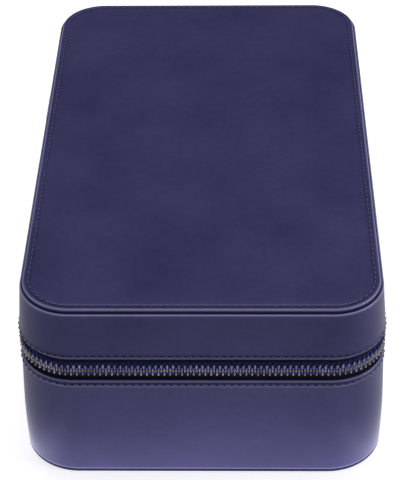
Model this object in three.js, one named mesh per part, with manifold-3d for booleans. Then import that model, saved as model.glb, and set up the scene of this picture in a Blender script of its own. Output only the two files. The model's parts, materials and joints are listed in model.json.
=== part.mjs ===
// Zip-around leather jewellery case: a rounded box, cut all round into a base and a lid.
// Millimetres, +Z up, front towards -Y. The origin is the middle of the underside.
//
// Each wall is built up in layers, measured as an inset from the leather face at the zip:
// leather band, zip tape, fibreboard, rim board, suede lining. The two leather bands stop short
// of each other, and the zip tape and its teeth span the gap on the front, the sides and most of
// the way round the back corners. A leather hinge strip closes the rest of the back.
import * as THREE from "three";
import { mergeVertices } from "three/addons/utils/BufferGeometryUtils.js";
import Module from "manifold-3d";

const wasm = await Module();
wasm.setup();

// ---- Driving dimensions -------------------------------------------------------------------
const WIDTH = 150; // of the leather faces at the zip, as LENGTH is
const LENGTH = 245;
const CORNER_RADIUS = 23;
const CORNER_SEGMENTS = 6;
const BASE_BAND_TOP = 51.1; // top edge of the base's leather band
const LID_BAND_BOTTOM = 62.6; // bottom edge of the lid's leather band
const LID_BAND_TOP = 84.3;
const HEIGHT = 86.2; // to the top panel's upper face
const LID_LEAN = 1.8; // how far the lid's wall leans in over the height of its leather band
const BASE_FLARE = 0.8; // how far the base's padded leather swells out, by its lower edge
const PARTING = (BASE_BAND_TOP + LID_BAND_BOTTOM) / 2; // the plane where the case opens
const RIM_GAP = 0.2; // half the gap between the base rim and the lid rim

// Layers of the wall, as insets from the leather face at the zip: [outer, inner].
const BAND = [0, 1.3];
const TAPE = [1.4, 2];
const BOARD = [1.4, 5];
const BOARD_BEHIND_TAPE = [2.1, 5];
const RIM = [5.1, 6.6];
const LINING = [6.7, 7.4];
const HINGE_CLOTH = [7.5, 8];
const TAPE_TUCK = 4; // how far the tape and hinge leather run in behind each band
const LAYER_GAP = 0.1;

// Floors and ceilings.
const BOTTOM_PANEL_SETBACK = 0.1; // behind the base leather's lower edge
const BOTTOM_PANEL_THICKNESS = 1.3;
const BOARD_THICKNESS = 2.5;
const LINING_THICKNESS = 0.7;
const TOP_PANEL_INSET = 3;
const TOP_PANEL_SKIN = 1; // the leather itself, turned down round the foam's edge
const PAD_INSET = 11;
const PAD_THICKNESS = 7;

// Zip: a size 5 metal chain.
const TOOTH_PITCH = 2.35;
const CHAIN_HALF_WIDTH = 3;
const CORD_HEIGHT = 0.8;
const TOOTH_TIP_GAP = 0.4; // each row stops this far from the parting plane
const CHAIN_FACES = [-0.4, 1.8]; // insets of the chain's outer and inner faces
const CHAIN_END_ANGLE = 74; // degrees round each back corner
const STOP_LENGTH_ANGLE = 4;
const HINGE_HALF_WIDTH = 51;
const HINGE_CLOTH_HALF_WIDTH = 50;

// Stitching thread.
const THREAD = 0.25; // how far it stands proud of the leather
const STITCH_WIDTH = 0.4;
const THREAD_CLEARANCE = 0.02; // keeps the thread off the leather it lies on
const TOP_STITCH_INSET = 5.4;
const LID_HEM = 1.5; // distance of the seam from the band's edge
const BASE_HEM = 2.2;

// Slider and pull, on the left side.
const SLIDER_Y = 88;
const SLIDER_LENGTH = 14;
const SLIDER_NOSE_HALF = 4.5;
const SLIDER_TAIL_HALF = 3.7;
const PLATE = 0.8;
const PLATE_CLEARANCE = 0.2;
const POST = [3, 6]; // the post that joins the two plates, along the slider from its middle
const PIVOT_Y = -1.5; // the pull's pivot, from the slider's middle
const BAIL_HALF_SPAN = 3.5;
const BAIL_WIDTH = 1.2;
const BAIL_LEG = 1;
const BAIL_BAR = 0.7;
const BAIL_OPENING_HALF = 0.75;
const PULL_BAR = 0.9;
const LINK_HALF_WIDTH = 3.6;
const LINK_HOLE_HALF = 2.5;
const LINK_LENGTH = 10;
const TAB_HALF_WIDTH = 4.2;
const TAB_LENGTH = 34;
const TAB_THICKNESS = 2;
const TAB_FOLD = 1.4; // how far the tab's folded neck passes the link's far bar
const FOLD_CLEARANCE = 0.2;

// Tray and compartments.
const TRAY_INSET = 9;
const TRAY_BOTTOM = 30.5;
const TRAY_TOP = 52;
const TRAY_WALL = 2;
const TRAY_LINING = 0.6;
const DIVIDER = 2.5;
const ROLL_COUNT = 7;
const ROLL_PITCH = 14;
const ROLL_WIDTH = 13.2;
const ROLL_HEIGHT = 15;
const LOWER_CROSS_Y = 40;
const DIVIDER_DROP = 1; // the tray's dividers stop this far below its top edge
const PULL_TAB_THICKNESS = 1.6;
const PULL_TAB_HALF = 8;
const PULL_TAB_RISE = 3; // above the tray's top edge
const PULL_TAB_DROP = 12; // below it

// ---- Materials ----------------------------------------------------------------------------
const material = (color, roughness, metalness = 0) =>
  new THREE.MeshStandardMaterial({ color, roughness, metalness });
const NAVY_LEATHER = material(0x3c3d62, 0.5);
const NAVY_THREAD = material(0x6a6d96, 0.6);
const TAPE_CLOTH = material(0x1d2a6a, 0.9);
const GUNMETAL = material(0x4a4648, 0.35, 1);
const SUEDE = material(0x8d8f9c, 0.95);
const FIBREBOARD = material(0x9a7b56, 0.9);
const FOAM = material(0xd8d4c8, 1);

const LEAN_SLOPE = LID_LEAN / (LID_BAND_TOP - LID_BAND_BOTTOM);
const BOARD_FLOOR = BOTTOM_PANEL_THICKNESS + LAYER_GAP;
const FLARE_SLOPE = BASE_FLARE / (BASE_BAND_TOP - BOARD_FLOOR);

// ---- Shapes -------------------------------------------------------------------------------
// A rounded-rectangle path, inset from the leather face at the zip.
function roundedRect(path, inset) {
  const x = WIDTH / 2 - CORNER_RADIUS;
  const y = LENGTH / 2 - CORNER_RADIUS;
  const radius = CORNER_RADIUS - inset;
  const quarter = Math.PI / 2;
  path.absarc(x, y, radius, 0, quarter);
  path.absarc(-x, y, radius, quarter, 2 * quarter);
  path.absarc(-x, -y, radius, 2 * quarter, 3 * quarter);
  path.absarc(x, -y, radius, 3 * quarter, 4 * quarter);
  path.closePath();
  return path;
}

// A shape extruded upwards from z0 to z1. An arc takes twice curveSegments.
function raised(shape, z0, z1) {
  const geometry = new THREE.ExtrudeGeometry(shape, {
    depth: z1 - z0,
    bevelEnabled: false,
    curveSegments: CORNER_SEGMENTS / 2,
  });
  return geometry.translate(0, 0, z0);
}

const slab = (inset, z0, z1) => raised(roundedRect(new THREE.Shape(), inset), z0, z1);

function ring([outer, inner], z0, z1) {
  const shape = roundedRect(new THREE.Shape(), outer);
  shape.holes.push(roundedRect(new THREE.Path(), inner));
  return raised(shape, z0, z1);
}

// Walls that lean in as they rise. Every point of a rounded outline lies on one of its corner
// arcs, so it is drawn in towards that arc's centre, by more the further above z0 it is, and out
// from it below z0.
function leaned(geometry, z0, slope = LEAN_SLOPE) {
  const points = geometry.attributes.position;
  for (let i = 0; i < points.count; i += 1) {
    const centreX = Math.sign(points.getX(i)) * (WIDTH / 2 - CORNER_RADIUS);
    const centreY = Math.sign(points.getY(i)) * (LENGTH / 2 - CORNER_RADIUS);
    const outX = points.getX(i) - centreX;
    const outY = points.getY(i) - centreY;
    const inward = slope * (points.getZ(i) - z0);
    const keep = 1 - inward / Math.hypot(outX, outY);
    points.setXY(i, centreX + keep * outX, centreY + keep * outY);
  }
  return geometry;
}

function box([x0, x1], [y0, y1], [z0, z1]) {
  const geometry = new THREE.BoxGeometry(x1 - x0, y1 - y0, z1 - z0);
  return geometry.translate((x0 + x1) / 2, (y0 + y1) / 2, (z0 + z1) / 2);
}

// ---- Joining and cutting ------------------------------------------------------------------
function solidOf(geometry) {
  const bare = geometry.clone();
  bare.deleteAttribute("normal");
  bare.deleteAttribute("uv");
  const merged = mergeVertices(bare, 1e-4);
  return new wasm.Manifold(
    new wasm.Mesh({
      numProp: 3,
      vertProperties: merged.attributes.position.array,
      triVerts: new Uint32Array(merged.index.array),
    }),
  );
}

function geometryOf(solid) {
  const { vertProperties, triVerts } = solid.getMesh();
  const geometry = new THREE.BufferGeometry();
  geometry.setAttribute("position", new THREE.BufferAttribute(vertProperties, 3));
  geometry.setIndex(new THREE.BufferAttribute(triVerts, 1));
  return geometry;
}

const join = (...parts) => geometryOf(parts.map(solidOf).reduce((a, b) => a.add(b)));
const cut = (from, ...tools) =>
  geometryOf(tools.map(solidOf).reduce((a, b) => a.subtract(b), solidOf(from)));
const common = (a, b) => geometryOf(solidOf(a).intersect(solidOf(b)));

// The stretch of the back wall between -halfWidth and halfWidth, as a cutting block.
const backBlock = (halfWidth) => box([-halfWidth, halfWidth], [0, LENGTH], [-HEIGHT, HEIGHT]);

function part(group, name, look, geometry) {
  const made = new THREE.Mesh(geometry, look);
  made.name = name;
  group.add(made);
  return made;
}

// ---- Zip chain ----------------------------------------------------------------------------
// The zip's line, as point and outward normal at a distance along it. It starts part of the way
// round the right back corner, runs along the right side, the front and the left side, and ends
// at the matching place on the left back corner.
const END = THREE.MathUtils.degToRad(CHAIN_END_ANGLE);
const CHAIN_MID = (CHAIN_FACES[0] + CHAIN_FACES[1]) / 2;
const CHAIN_RADIUS = CORNER_RADIUS - CHAIN_MID;
const SIDE_RUN = LENGTH - 2 * CORNER_RADIUS;
const FRONT_RUN = WIDTH - 2 * CORNER_RADIUS;
const QUARTER_RUN = (Math.PI / 2) * CHAIN_RADIUS;
const END_RUN = END * CHAIN_RADIUS;
const CHAIN_RUN = 2 * (END_RUN + SIDE_RUN + QUARTER_RUN) + FRONT_RUN;
const HALF_FRONT = FRONT_RUN / 2;
const HALF_SIDE = SIDE_RUN / 2;

function onArc(x, y, angle) {
  const normal = new THREE.Vector2(Math.cos(angle), Math.sin(angle));
  return { point: new THREE.Vector2(x, y).addScaledVector(normal, CHAIN_RADIUS), normal };
}

function onZipLine(distance) {
  if (distance > CHAIN_RUN / 2) {
    const mirrored = onZipLine(CHAIN_RUN - distance);
    mirrored.point.x *= -1;
    mirrored.normal.x *= -1;
    return mirrored;
  }
  let along = distance;
  if (along <= END_RUN) return onArc(HALF_FRONT, HALF_SIDE, END - along / CHAIN_RADIUS);
  along -= END_RUN;
  if (along <= SIDE_RUN) return onArc(HALF_FRONT, HALF_SIDE - along, 0);
  along -= SIDE_RUN;
  if (along <= QUARTER_RUN) return onArc(HALF_FRONT, -HALF_SIDE, -along / CHAIN_RADIUS);
  along -= QUARTER_RUN;
  return onArc(HALF_FRONT - along, -HALF_SIDE, -Math.PI / 2);
}

// One row of teeth on its cord. up is 1 for the base's row, whose teeth point up at the parting
// plane (z = 0), and -1 for the lid's row. shift moves the row along the zip by part of a pitch.
function toothRow(up, shift) {
  const count = Math.floor(CHAIN_RUN / TOOTH_PITCH) - 1;
  const half = (CHAIN_FACES[1] - CHAIN_FACES[0]) / 2;
  const vertices = [];
  const faces = [];
  const corner = (distance, side, z) => {
    const { point, normal } = onZipLine(distance);
    vertices.push(point.x + side * half * normal.x, point.y + side * half * normal.y, up * z);
    return vertices.length / 3 - 1;
  };
  const triangle = (a, b, c) => faces.push(...(up > 0 ? [a, b, c] : [a, c, b]));
  const quad = (a, b, c, d) => {
    triangle(a, b, c);
    triangle(a, c, d);
  };
  const cordTop = CORD_HEIGHT - CHAIN_HALF_WIDTH;
  const station = (distance) => ({
    lowOut: corner(distance, 1, -CHAIN_HALF_WIDTH),
    lowIn: corner(distance, -1, -CHAIN_HALF_WIDTH),
    topOut: corner(distance, 1, cordTop),
    topIn: corner(distance, -1, cordTop),
  });
  let last = station(shift);
  quad(last.lowOut, last.lowIn, last.topIn, last.topOut);
  for (let i = 0; i < count; i += 1) {
    const start = shift + i * TOOTH_PITCH;
    const tipOut = corner(start + TOOTH_PITCH / 2, 1, -TOOTH_TIP_GAP);
    const tipIn = corner(start + TOOTH_PITCH / 2, -1, -TOOTH_TIP_GAP);
    const next = station(start + TOOTH_PITCH);
    quad(last.lowOut, last.topOut, next.topOut, next.lowOut);
    triangle(last.topOut, tipOut, next.topOut);
    quad(last.lowIn, next.lowIn, next.topIn, last.topIn);
    triangle(last.topIn, next.topIn, tipIn);
    quad(last.topOut, last.topIn, tipIn, tipOut);
    quad(tipOut, tipIn, next.topIn, next.topOut);
    quad(last.lowOut, next.lowOut, next.lowIn, last.lowIn);
    last = next;
  }
  quad(last.lowOut, last.topOut, last.topIn, last.lowIn);
  const geometry = new THREE.BufferGeometry();
  geometry.setAttribute("position", new THREE.Float32BufferAttribute(vertices, 3));
  geometry.setIndex(faces);
  return geometry;
}

// The crimped metal stop just past the end of one row, on the right (side 1) or left (side -1).
function zipStop(side, up) {
  const middle = END + THREE.MathUtils.degToRad(STOP_LENGTH_ANGLE);
  const { point, normal } = onArc(HALF_FRONT, HALF_SIDE, middle);
  const depth = CHAIN_FACES[1] - CHAIN_FACES[0];
  const height = CHAIN_HALF_WIDTH - TOOTH_TIP_GAP;
  const stop = new THREE.BoxGeometry(depth, TOOTH_PITCH / 2, height);
  stop.rotateZ(Math.atan2(normal.y, side * normal.x));
  const z = (-up * (CHAIN_HALF_WIDTH + TOOTH_TIP_GAP)) / 2;
  return stop.translate(side * point.x, point.y, z);
}

// ---- Base ---------------------------------------------------------------------------------
const jewelleryCase = new THREE.Group();
const base = new THREE.Group();
jewelleryCase.add(base);

const LINING_FLOOR = BOARD_FLOOR + BOARD_THICKNESS + LAYER_GAP;
const COMPARTMENT_FLOOR = LINING_FLOOR + LINING_THICKNESS;
const BASE_RIM_TOP = PARTING - RIM_GAP;
const TAPE_BOTTOM = BASE_BAND_TOP - TAPE_TUCK;
const TAPE_TOP = PARTING - CHAIN_HALF_WIDTH - LAYER_GAP / 2;

part(
  base,
  "base_bottom_panel",
  NAVY_LEATHER,
  slab(BOTTOM_PANEL_SETBACK - BASE_FLARE, 0, BOTTOM_PANEL_THICKNESS),
);
// The band's inner face is upright against the board, and its outer face flares downwards.
part(
  base,
  "base_leather_band",
  NAVY_LEATHER,
  cut(
    leaned(slab(BAND[0], BOARD_FLOOR, BASE_BAND_TOP), BASE_BAND_TOP, FLARE_SLOPE),
    slab(BAND[1], 0, HEIGHT),
  ),
);
part(
  base,
  "base_board_tub",
  FIBREBOARD,
  join(
    slab(BOARD[0], BOARD_FLOOR, BOARD_FLOOR + BOARD_THICKNESS),
    ring(BOARD, BOARD_FLOOR, TAPE_BOTTOM - LAYER_GAP),
    ring(BOARD_BEHIND_TAPE, BOARD_FLOOR, BASE_BAND_TOP - LAYER_GAP),
  ),
);
part(base, "base_rim_board", FIBREBOARD, ring(RIM, LINING_FLOOR, BASE_RIM_TOP));
part(
  base,
  "base_suede_lining",
  SUEDE,
  join(slab(LINING[0], LINING_FLOOR, COMPARTMENT_FLOOR), ring(LINING, LINING_FLOOR, BASE_RIM_TOP)),
);
part(
  base,
  "base_zip_tape",
  TAPE_CLOTH,
  cut(ring(TAPE, TAPE_BOTTOM, TAPE_TOP), backBlock(HINGE_HALF_WIDTH + LAYER_GAP)),
);
part(
  base,
  "hinge_leather_base_leaf",
  NAVY_LEATHER,
  common(ring(TAPE, TAPE_BOTTOM, BASE_RIM_TOP), backBlock(HINGE_HALF_WIDTH)),
);
part(
  base,
  "hinge_cloth_base_leaf",
  SUEDE,
  common(ring(HINGE_CLOTH, TAPE_BOTTOM, BASE_RIM_TOP), backBlock(HINGE_CLOTH_HALF_WIDTH)),
);
part(base, "base_zip_teeth", GUNMETAL, toothRow(1, 0)).position.z = PARTING;
part(base, "base_zip_stop_left", GUNMETAL, zipStop(-1, 1)).position.z = PARTING;
part(base, "base_zip_stop_right", GUNMETAL, zipStop(1, 1)).position.z = PARTING;
const ON_FACE = [-THREAD, -THREAD_CLEARANCE]; // thread lying on a band's outer face
const BASE_SEAM = BASE_BAND_TOP - BASE_HEM;
part(
  base,
  "base_hem_stitching",
  NAVY_THREAD,
  leaned(ring(ON_FACE, BASE_SEAM - STITCH_WIDTH, BASE_SEAM), BASE_BAND_TOP, FLARE_SLOPE),
);

// Compartments under the tray, which rests on the dividers' upper edges.
const insideHalf = WIDTH / 2 - LINING[1] - LAYER_GAP;
const dividerHeights = [COMPARTMENT_FLOOR + LAYER_GAP, TRAY_BOTTOM - LAYER_GAP];
for (const [name, y] of [["front", -LOWER_CROSS_Y], ["rear", LOWER_CROSS_Y]]) {
  const thickness = [y - DIVIDER / 2, y + DIVIDER / 2];
  const divider = box([-insideHalf, insideHalf], thickness, dividerHeights);
  part(base, `lower_divider_${name}`, SUEDE, divider);
}
const lowerSpan = LOWER_CROSS_Y - DIVIDER / 2 - LAYER_GAP;
const lengthwise = box([-DIVIDER / 2, DIVIDER / 2], [-lowerSpan, lowerSpan], dividerHeights);
part(base, "lower_divider_lengthwise", SUEDE, lengthwise);

// ---- Lid ----------------------------------------------------------------------------------
// The lid's group stands on the parting plane, so heights in it count from there. Its outer
// layers lean in from the leather band's lower edge, and its inner ones from the rim.
const lid = new THREE.Group();
lid.position.z = PARTING;
jewelleryCase.add(lid);

const above = (z) => z - PARTING;
const BAND_BOTTOM = above(LID_BAND_BOTTOM);
const BAND_TOP = above(LID_BAND_TOP);
const LID_TAPE_TOP = BAND_BOTTOM + TAPE_TUCK;
const CEILING = BAND_TOP - BOARD_THICKNESS;
const PAD_TOP = CEILING - LINING_THICKNESS - 2 * LAYER_GAP;
const PANEL_BOTTOM = BAND_TOP + LAYER_GAP;
const PANEL_TOP = above(HEIGHT);
const FOAM_TOP = PANEL_TOP - TOP_PANEL_SKIN;

part(
  lid,
  "lid_top_panel",
  NAVY_LEATHER,
  cut(
    slab(TOP_PANEL_INSET, PANEL_BOTTOM, PANEL_TOP),
    slab(TOP_PANEL_INSET + TOP_PANEL_SKIN, PANEL_BOTTOM - 1, FOAM_TOP),
  ),
);
part(
  lid,
  "lid_top_foam",
  FOAM,
  slab(TOP_PANEL_INSET + TOP_PANEL_SKIN + LAYER_GAP, PANEL_BOTTOM, FOAM_TOP - LAYER_GAP),
);
const ON_TOP = [TOP_STITCH_INSET - STITCH_WIDTH / 2, TOP_STITCH_INSET + STITCH_WIDTH / 2];
part(
  lid,
  "lid_top_stitching",
  NAVY_THREAD,
  ring(ON_TOP, PANEL_TOP + THREAD_CLEARANCE, PANEL_TOP + THREAD),
);
part(lid, "lid_leather_band", NAVY_LEATHER, leaned(ring(BAND, BAND_BOTTOM, BAND_TOP), BAND_BOTTOM));
const LID_SEAM = BAND_BOTTOM + LID_HEM;
part(
  lid,
  "lid_hem_stitching",
  NAVY_THREAD,
  leaned(ring(ON_FACE, LID_SEAM, LID_SEAM + STITCH_WIDTH), BAND_BOTTOM),
);
part(
  lid,
  "lid_board_tub",
  FIBREBOARD,
  leaned(
    join(
      slab(BOARD[0], CEILING, BAND_TOP),
      ring(BOARD, LID_TAPE_TOP + LAYER_GAP, BAND_TOP),
      ring(BOARD_BEHIND_TAPE, BAND_BOTTOM + LAYER_GAP, BAND_TOP),
    ),
    BAND_BOTTOM,
  ),
);
part(lid, "lid_rim_board", FIBREBOARD, leaned(ring(RIM, RIM_GAP, CEILING - LAYER_GAP), RIM_GAP));
part(
  lid,
  "lid_suede_lining",
  SUEDE,
  leaned(
    join(
      slab(LINING[0], PAD_TOP + LAYER_GAP, CEILING - LAYER_GAP),
      ring(LINING, RIM_GAP, CEILING - LAYER_GAP),
    ),
    RIM_GAP,
  ),
);
part(lid, "lid_pad", SUEDE, slab(PAD_INSET, PAD_TOP - PAD_THICKNESS, PAD_TOP));
const tapeEdge = CHAIN_HALF_WIDTH + LAYER_GAP / 2;
part(
  lid,
  "lid_zip_tape",
  TAPE_CLOTH,
  cut(
    leaned(ring(TAPE, tapeEdge, LID_TAPE_TOP), BAND_BOTTOM),
    backBlock(HINGE_HALF_WIDTH + LAYER_GAP),
  ),
);
part(
  lid,
  "hinge_leather_lid_leaf",
  NAVY_LEATHER,
  common(leaned(ring(TAPE, RIM_GAP, LID_TAPE_TOP), BAND_BOTTOM), backBlock(HINGE_HALF_WIDTH)),
);
part(
  lid,
  "hinge_cloth_lid_leaf",
  SUEDE,
  common(
    leaned(ring(HINGE_CLOTH, RIM_GAP, LID_TAPE_TOP), RIM_GAP),
    backBlock(HINGE_CLOTH_HALF_WIDTH),
  ),
);
part(lid, "lid_zip_teeth", GUNMETAL, toothRow(-1, TOOTH_PITCH / 2));
part(lid, "lid_zip_stop_left", GUNMETAL, zipStop(-1, -1));
part(lid, "lid_zip_stop_right", GUNMETAL, zipStop(1, -1));

// ---- Slider and pull ----------------------------------------------------------------------
// The slider's group sits on the left side's outer face, at the parting plane. In it -X points
// out of the case, and the slider runs along Y.
const slider = new THREE.Group();
slider.position.set(-WIDTH / 2, SLIDER_Y, PARTING);
jewelleryCase.add(slider);

const outerPlateIn = CHAIN_FACES[0] - PLATE_CLEARANCE;
const outerPlateOut = outerPlateIn - PLATE;
const pivotX = outerPlateOut - BAIL_OPENING_HALF;
const innerPlateOut = TAPE[1] + PLATE_CLEARANCE;
const innerPlateIn = innerPlateOut + PLATE;

// A slider plate: wide shoulders at the nose, which leads as the zip closes, and a narrower tail.
function sliderPlate(x0, x1) {
  const half = SLIDER_LENGTH / 2;
  const shoulder = half / 3;
  const nose = SLIDER_NOSE_HALF;
  const tail = SLIDER_TAIL_HALF;
  const outline = new THREE.Shape();
  outline.moveTo(tail, -half);
  outline.lineTo(tail, 0);
  outline.lineTo(nose, shoulder);
  outline.quadraticCurveTo(nose, half, 0, half);
  outline.quadraticCurveTo(-nose, half, -nose, shoulder);
  outline.lineTo(-tail, 0);
  outline.lineTo(-tail, -half);
  outline.closePath();
  // The outline is drawn with its width along X; turned, that width stands along Z.
  return raised(outline, 0, x1 - x0).rotateY(Math.PI / 2).translate(x0, 0, 0);
}

const bailWidth = [-BAIL_WIDTH / 2, BAIL_WIDTH / 2];
const bailTop = pivotX - BAIL_OPENING_HALF - BAIL_BAR;
const bailSpan = [PIVOT_Y - BAIL_HALF_SPAN, PIVOT_Y + BAIL_HALF_SPAN];
const postHalf = TOOTH_TIP_GAP / 2;
part(
  slider,
  "zip_slider",
  GUNMETAL,
  join(
    sliderPlate(outerPlateOut, outerPlateIn),
    sliderPlate(innerPlateOut, innerPlateIn),
    box([outerPlateIn - PLATE / 2, innerPlateOut + PLATE / 2], POST, [-postHalf, postHalf]),
    box([bailTop, outerPlateOut + PLATE / 2], [bailSpan[0], bailSpan[0] + BAIL_LEG], bailWidth),
    box([bailTop, outerPlateOut + PLATE / 2], [bailSpan[1] - BAIL_LEG, bailSpan[1]], bailWidth),
    box([bailTop, bailTop + BAIL_BAR], bailSpan, bailWidth),
  ),
);

// The pull's group sits on its pivot. At rest the pull lies flat and points to the front.
const pull = new THREE.Group();
pull.position.set(pivotX, PIVOT_Y, 0);
slider.add(pull);

const linkThickness = [-PULL_BAR / 2, PULL_BAR / 2];
const farBar = [-LINK_LENGTH, -LINK_LENGTH + PULL_BAR];
part(
  pull,
  "pull_link",
  GUNMETAL,
  cut(
    box(linkThickness, [-LINK_LENGTH, PULL_BAR / 2], [-LINK_HALF_WIDTH, LINK_HALF_WIDTH]),
    box([-PULL_BAR, PULL_BAR], [farBar[1], -PULL_BAR / 2], [-LINK_HOLE_HALF, LINK_HOLE_HALF]),
  ),
);

const tabThickness = [-TAB_THICKNESS / 2, TAB_THICKNESS / 2];
const neckHalf = LINK_HOLE_HALF - FOLD_CLEARANCE;
const tabTip = new THREE.Shape();
tabTip.moveTo(-TAB_HALF_WIDTH, -LINK_LENGTH - 2 * FOLD_CLEARANCE);
tabTip.lineTo(-TAB_HALF_WIDTH, TAB_HALF_WIDTH - TAB_LENGTH);
tabTip.absarc(0, TAB_HALF_WIDTH - TAB_LENGTH, TAB_HALF_WIDTH, Math.PI, 2 * Math.PI);
tabTip.lineTo(TAB_HALF_WIDTH, -LINK_LENGTH - 2 * FOLD_CLEARANCE);
tabTip.closePath();
const tabBody = raised(tabTip, 0, TAB_THICKNESS).rotateY(Math.PI / 2);
part(
  pull,
  "pull_leather_tab",
  NAVY_LEATHER,
  cut(
    join(
      tabBody.translate(-TAB_THICKNESS / 2, 0, 0),
      box(tabThickness, [farBar[0] - TAB_FOLD, farBar[1] + TAB_FOLD], [-neckHalf, neckHalf]),
    ),
    box(
      [linkThickness[0] - FOLD_CLEARANCE, linkThickness[1] + FOLD_CLEARANCE],
      [farBar[0] - FOLD_CLEARANCE, farBar[1] + FOLD_CLEARANCE],
      [-LINK_HALF_WIDTH, LINK_HALF_WIDTH],
    ),
  ),
);

// ---- Tray ---------------------------------------------------------------------------------
// The tray's group sits at its underside, on the lower dividers.
const tray = new THREE.Group();
tray.position.z = TRAY_BOTTOM;
jewelleryCase.add(tray);

const trayHeight = TRAY_TOP - TRAY_BOTTOM;
const trayInner = TRAY_INSET + TRAY_WALL;
const trayLined = trayInner + LAYER_GAP + TRAY_LINING;
const trayFloor = TRAY_WALL + LAYER_GAP + TRAY_LINING;
part(
  tray,
  "tray_shell",
  FIBREBOARD,
  join(slab(TRAY_INSET, 0, TRAY_WALL), ring([TRAY_INSET, trayInner], 0, trayHeight)),
);
part(
  tray,
  "tray_suede_lining",
  SUEDE,
  join(
    slab(trayInner + LAYER_GAP, TRAY_WALL + LAYER_GAP, trayFloor),
    ring([trayInner + LAYER_GAP, trayLined], TRAY_WALL + LAYER_GAP, trayHeight),
  ),
);

// Ring rolls fill the front of the tray. They lie across it, and their ends follow its walls.
const trayFront = -LENGTH / 2 + trayLined;
const trayHalf = WIDTH / 2 - trayLined - LAYER_GAP;
const rollFloor = trayFloor + LAYER_GAP;
const insideTray = slab(trayLined + 2 * LAYER_GAP, 0, trayHeight);
function ringRoll(index) {
  const radius = ROLL_WIDTH / 2;
  const profile = new THREE.Shape();
  profile.moveTo(-radius, 0);
  profile.lineTo(radius, 0);
  profile.absarc(0, ROLL_HEIGHT - radius, radius, 0, Math.PI);
  profile.closePath();
  // Drawn in X and Y and extruded along Z: stood up, then turned to lie along X.
  const roll = raised(profile, -trayHalf, trayHalf).rotateX(Math.PI / 2).rotateZ(Math.PI / 2);
  roll.translate(0, trayFront + LAYER_GAP + ROLL_PITCH * (index + 0.5), rollFloor);
  return common(roll, insideTray);
}
for (let i = 0; i < ROLL_COUNT; i += 1) part(tray, `ring_roll_${i + 1}`, SUEDE, ringRoll(i));

const wallHeights = [rollFloor, trayHeight - DIVIDER_DROP];
const crossY = trayFront + ROLL_COUNT * ROLL_PITCH + DIVIDER;
const crosswise = box([-trayHalf, trayHalf], [crossY - DIVIDER, crossY], wallHeights);
part(tray, "tray_divider_crosswise", SUEDE, crosswise);
const rearStart = crossY + LAYER_GAP;
const rearEnd = LENGTH / 2 - trayLined - LAYER_GAP;
const middleWall = box([-DIVIDER / 2, DIVIDER / 2], [rearStart, rearEnd], wallHeights);
part(tray, "tray_divider_lengthwise", SUEDE, middleWall);
const shortY = (rearStart + rearEnd) / 2;
const shortThickness = [shortY - DIVIDER / 2, shortY + DIVIDER / 2];
const shortWall = box([DIVIDER / 2 + LAYER_GAP, trayHalf], shortThickness, wallHeights);
part(tray, "tray_divider_short", SUEDE, shortWall);

// Folded leather tabs for lifting the tray, one inside each side wall.
const tabOuter = trayHalf - LAYER_GAP;
const tabY = crossY + PULL_TAB_HALF + 2 * DIVIDER;
const tabHeights = [trayHeight - PULL_TAB_DROP, trayHeight + PULL_TAB_RISE];
for (const [name, side] of [["left", -1], ["right", 1]]) {
  const tabThickness = [tabOuter - PULL_TAB_THICKNESS, tabOuter];
  const tab = box(tabThickness, [-PULL_TAB_HALF, PULL_TAB_HALF], tabHeights);
  if (side < 0) tab.rotateZ(Math.PI);
  part(tray, `tray_pull_${name}`, NAVY_LEATHER, tab.translate(0, tabY, 0));
}

export default jewelleryCase;
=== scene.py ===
# The leather jewellery case: its looks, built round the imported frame.
# Shapes are worked out in millimetres, with +Z up and the front towards -Y, and scaled to metres
# when each mesh is made. Heights and widths come from the frame's boxes.
import json
import math

import bmesh
import bpy
import numpy as np
from mathutils import Matrix, Vector

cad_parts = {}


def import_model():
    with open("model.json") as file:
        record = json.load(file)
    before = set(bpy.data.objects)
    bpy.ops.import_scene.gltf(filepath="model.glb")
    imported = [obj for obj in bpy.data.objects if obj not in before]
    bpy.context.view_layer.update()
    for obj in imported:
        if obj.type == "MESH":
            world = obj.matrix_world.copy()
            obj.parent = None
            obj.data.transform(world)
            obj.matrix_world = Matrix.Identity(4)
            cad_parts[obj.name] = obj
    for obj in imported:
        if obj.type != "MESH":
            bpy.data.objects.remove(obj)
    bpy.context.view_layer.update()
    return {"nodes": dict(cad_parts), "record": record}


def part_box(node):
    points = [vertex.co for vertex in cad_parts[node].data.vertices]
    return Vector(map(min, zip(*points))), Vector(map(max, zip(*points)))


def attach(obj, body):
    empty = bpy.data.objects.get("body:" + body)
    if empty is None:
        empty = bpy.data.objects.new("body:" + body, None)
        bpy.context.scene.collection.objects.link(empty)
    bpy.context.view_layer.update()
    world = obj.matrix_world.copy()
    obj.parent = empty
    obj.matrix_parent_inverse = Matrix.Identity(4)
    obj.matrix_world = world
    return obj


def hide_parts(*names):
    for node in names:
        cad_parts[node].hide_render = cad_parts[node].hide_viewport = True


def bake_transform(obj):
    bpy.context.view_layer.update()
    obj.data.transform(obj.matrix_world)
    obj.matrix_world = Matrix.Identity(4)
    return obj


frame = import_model()

# ---- Driving dimensions, in mm -----------------------------------------------------------
MM = 0.001
CORNER_RADIUS = 23.0
LID_LEAN = 1.8  # how far the lid's leather leans in from its lower edge to its upper edge


def box_mm(node):
    low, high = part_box(node)
    return low / MM, high / MM


BAND_LOW, BAND_HIGH = box_mm("base_leather_band")
LID_LOW, LID_HIGH = box_mm("lid_leather_band")
PANEL_LOW, PANEL_HIGH = box_mm("lid_top_panel")
HALF_WIDTH = LID_HIGH.x  # of the leather at the zip, which every inset counts from
HALF_LENGTH = LID_HIGH.y
BASE_FLARE = BAND_HIGH.x - HALF_WIDTH
PARTING = (BAND_HIGH.z + LID_LOW.z) / 2
PANEL_INSET = HALF_WIDTH - PANEL_HIGH.x
BAND_THICKNESS = 1.3
STITCH_PITCH = 3.08
STATIONS_PER_STITCH = 6


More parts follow.
